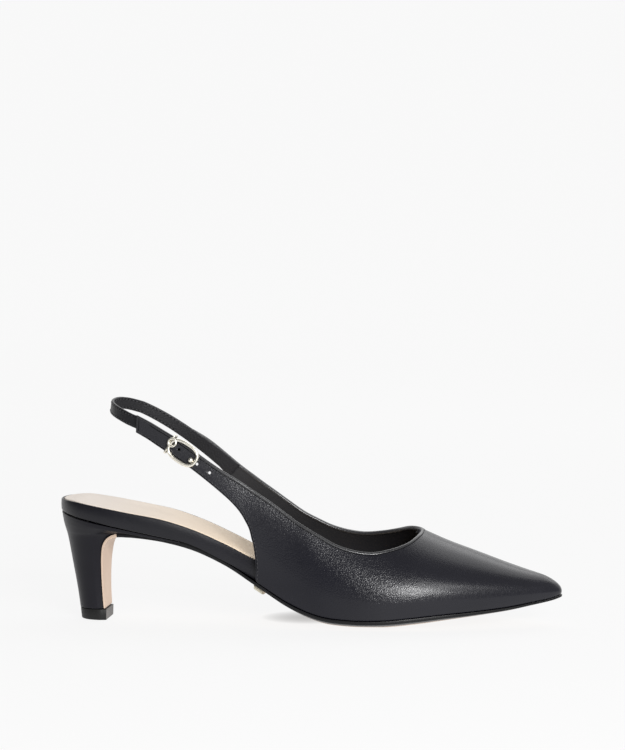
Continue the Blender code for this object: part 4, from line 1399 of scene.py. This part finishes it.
def wing_lift(x):
    """Rise of the sole's upper side just ahead of the heel's wing, so that the seam runs on smoothly."""
    share = clamp((x - WING_END_X) / WING_BLEND)
    return WING_RISE * (1 - share) ** 2 * (1 + 2 * share) if x > WING_END_X + 2 * FIT_GAP else 0.0


def flap_row(row, shares):
    """Points across the flap's outer face, each with the way through the flap."""
    x, z, half, turn = row
    angle = clamp(turn) * math.pi / 2
    inward = Vector((-math.sin(angle), 0.0, math.cos(angle)))
    point = Vector((x * HEEL_TIP_LENGTH, 0.0, z * SEAT_HEIGHT)) + inward * SOLE_THICK
    inward *= SOLE_THICK + (FLAP_THICK - SOLE_THICK) * clamp(turn)
    across = Vector((0.0, half * HEEL_TIP_WIDTH, 0.0))
    return [(point + across * share - inward, inward) for share in shares]


def tread_row(place, shares):
    """Points across the underside of the sole, each with the way through the sole."""
    reach = sole_reach(read_table(LAST_ROUND, place + 1)[0])
    outer, row = outline_point(place, -1, reach)
    inner, _ = outline_point(place, 1, reach)
    inward = Vector((0.0, 0.0, row["sole"] + wing_lift(row["x"])))
    line = []
    for across in shares:
        point = outer.lerp(inner, (across + 1) / 2)
        line.append((Vector((point.x, point.y, under_height(row, across))), inward))
    return line


def build_sole(kinds):
    shares = shares_across(24)
    flap = list(reversed(FLAP))
    flap_rows = (len(FLAP) - 1) * 6
    rows = [flap_row(read_table(flap, index / 6), shares) for index in range(flap_rows + 1)]
    first = place_at(share_of((FLAP[0][0] + 0.41) * HEEL_TIP_LENGTH))
    last = LAST_END * 0.999
    for index in range(SOLE_STEPS + 1):
        share = index / SOLE_STEPS
        place = first + (last - first) * (share + 0.12 * math.sin(math.pi * share) * share)
        rows.append(tread_row(min(place, last), shares))
    rings = []
    for row in rows:
        rings.append([point for point, _ in row] + [point + inward for point, inward in reversed(row)])

    def slot_of(column, row):
        return 1 if row >= flap_rows - 4 and not 1 < column < len(shares) - 3 else 0

    mesh = grid_through(rings, ring=True, ends=True, slot_of=slot_of)
    round_edges(mesh, 55, 0.00035, 2)
    new_piece("sole_leather", mesh, [kinds["sole"], kinds["edge"]], ["outsole"])


# Heel


def fine_heel_ring(back_x, back_z, front_x, front_z, half, front_half, curve):
    length = front_x - back_x
    side = []
    for index in range(19):
        angle = math.pi / 2 * index / 18
        side.append((length * curve * (1 - math.cos(angle)), half * math.sin(angle)))
    for share in (0.12, 0.25, 0.38, 0.5, 0.62, 0.75, 0.86, 0.94):
        width = half + (front_half - half) * share
        side.append((length * (curve + (1 - curve) * share), width))
    side.append((length, front_half * 0.99))
    for share in (0.75, 0.5, 0.25):
        side.append((length, front_half * share))
    ring = [(length, 0.0)]
    ring += [(x, -y) for x, y in reversed(side)]
    ring += side[1:]
    return [Vector((back_x + x, y, back_z + (front_z - back_z) * x / length)) for x, y in ring]


def build_heel(kinds):
    foot = TOP_PIECE_HEIGHT + FIT_GAP * 0.5
    rise = SEAT_HEIGHT - TOP_PIECE_HEIGHT - FIT_GAP
    tip = HEEL_TIP_LENGTH
    steps = 6
    rings = []
    for index in range((len(HEEL) - 1) * steps + 1):
        back_x, back_z, front_x, front_z, half, front_half, curve = read_table(HEEL, index / steps)
        ends = (back_x * tip, foot + back_z * rise, front_x * tip, foot + front_z * rise)
        rings.append(fine_heel_ring(*ends, half * HEEL_TIP_WIDTH, front_half * HEEL_TIP_WIDTH, curve))
    mesh = grid_through(rings, ring=True, ends=True)
    round_edges(mesh, 40, 0.0004, 3)
    new_piece("heel_cover", mesh, [kinds["heel"]], ["heel_block"])


def build_top_piece(kinds):
    rings = []
    for height, back, front, half in TOP_PIECE:
        level = height * (TOP_PIECE_HEIGHT - 0.0001)
        width = half * HEEL_TIP_WIDTH
        ends = (back * HEEL_TIP_LENGTH, level, front * HEEL_TIP_LENGTH, level)
        rings.append(fine_heel_ring(*ends, width, width * 0.93, 0.80))
    mesh = grid_through(rings, ring=True, ends=True)
    round_edges(mesh, 40, 0.00025, 2)
    # Painted light: the faces turned to the front get a lighter grey, for the light on the heel tip's front.
    for face in mesh.faces:
        face.material_index = 1 if face.normal.x > 0.75 else 0
    materials = [kinds["rubber"], kinds["rubber_lit_front"]]
    new_piece("top_piece_rubber", mesh, materials, ["top_piece"])


def build_plate(kinds):
    """The small plate under the waist."""
    shares = [-0.9 + 0.6 * step / 8 for step in range(9)]
    spots = [(share, 0) for share in shares] + [(share, 1) for share in reversed(shares)]
    rings = []
    for index in range(9):
        place = place_at(0.405 + 0.017 * index / 8)
        outer, row = outline_point(place, -1, 0.0)
        inner, _ = outline_point(place, 1, 0.0)
        ring = []
        for across, out in spots:
            point = outer.lerp(inner, (across + 1) / 2)
            height = under_height(row, across) - FIT_GAP * 0.3 - out * PLATE_THICK * PLATE_DEEPER
            ring.append(Vector((point.x, point.y, height)))
        rings.append(ring)
    mesh = grid_through(rings, ring=True, ends=True)
    round_edges(mesh, 50, 0.00025, 2)
    new_piece("waist_plate_gold", mesh, [kinds["dull_gold"]], ["waist_plate"])


def build_upper_trim(kinds, tree):
    """Binding along the topline, stitches along the low edges and painted groove shade on the strap end."""
    outer_tops, outer_lows = edge_lines(OUTER_SIDE, -1)
    inner_tops, inner_lows = edge_lines(INNER_SIDE, 1)
    topline = outer_tops + list(reversed(inner_tops))[1:]
    build_binding(kinds, tree, steadied(inward_frames(topline, tree, outer_lows[0] - outer_tops[0]), 8))

    def facing(spot):
        return tree.find_nearest(spot)[1]

    stitches = bmesh.new()
    outer_frames = inward_frames(outer_lows, tree, outer_tops[0] - outer_lows[0])
    inner_frames = inward_frames(inner_lows, tree, inner_tops[0] - inner_lows[0])
    for frames in (outer_frames, inner_frames):
        add_stitches(stitches, surface_line(frames, tree, STRAP_STITCH_IN), facing, 0.0)
    new_piece("upper_stitches", stitches, [kinds["thread"]])
    # Painted shade: near-black lines in from the low edge and across the strap's end, for their grooves.
    grooves = rod(surface_line(outer_frames[4:-4], tree, 0.00055, 0.00001), GROOVE_RADIUS, 6)
    rows = side_rows(OUTER_SIDE, -1, [])
    centre = SIDE_COLUMNS // 2
    row = min(rows, key=lambda row: abs((row[centre] - rows[0][centre]).length - 0.0013))
    end_line = [on_leather(tree, point, 0.00001) for point in row[4:-4]]
    join_mesh(grooves, rod(end_line, GROOVE_RADIUS, 6))
    new_piece("strap_groove_shades", grooves, [kinds["groove"]])


def main():
    place_camera()
    build_studio()
    kinds = build_materials()
    tree = build_upper(kinds)
    build_upper_trim(kinds, tree)
    build_sling(kinds)
    build_buckle(kinds)
    build_board(kinds)
    build_sock(kinds)
    build_sole(kinds)
    build_heel(kinds)
    build_top_piece(kinds)
    build_plate(kinds)


main()
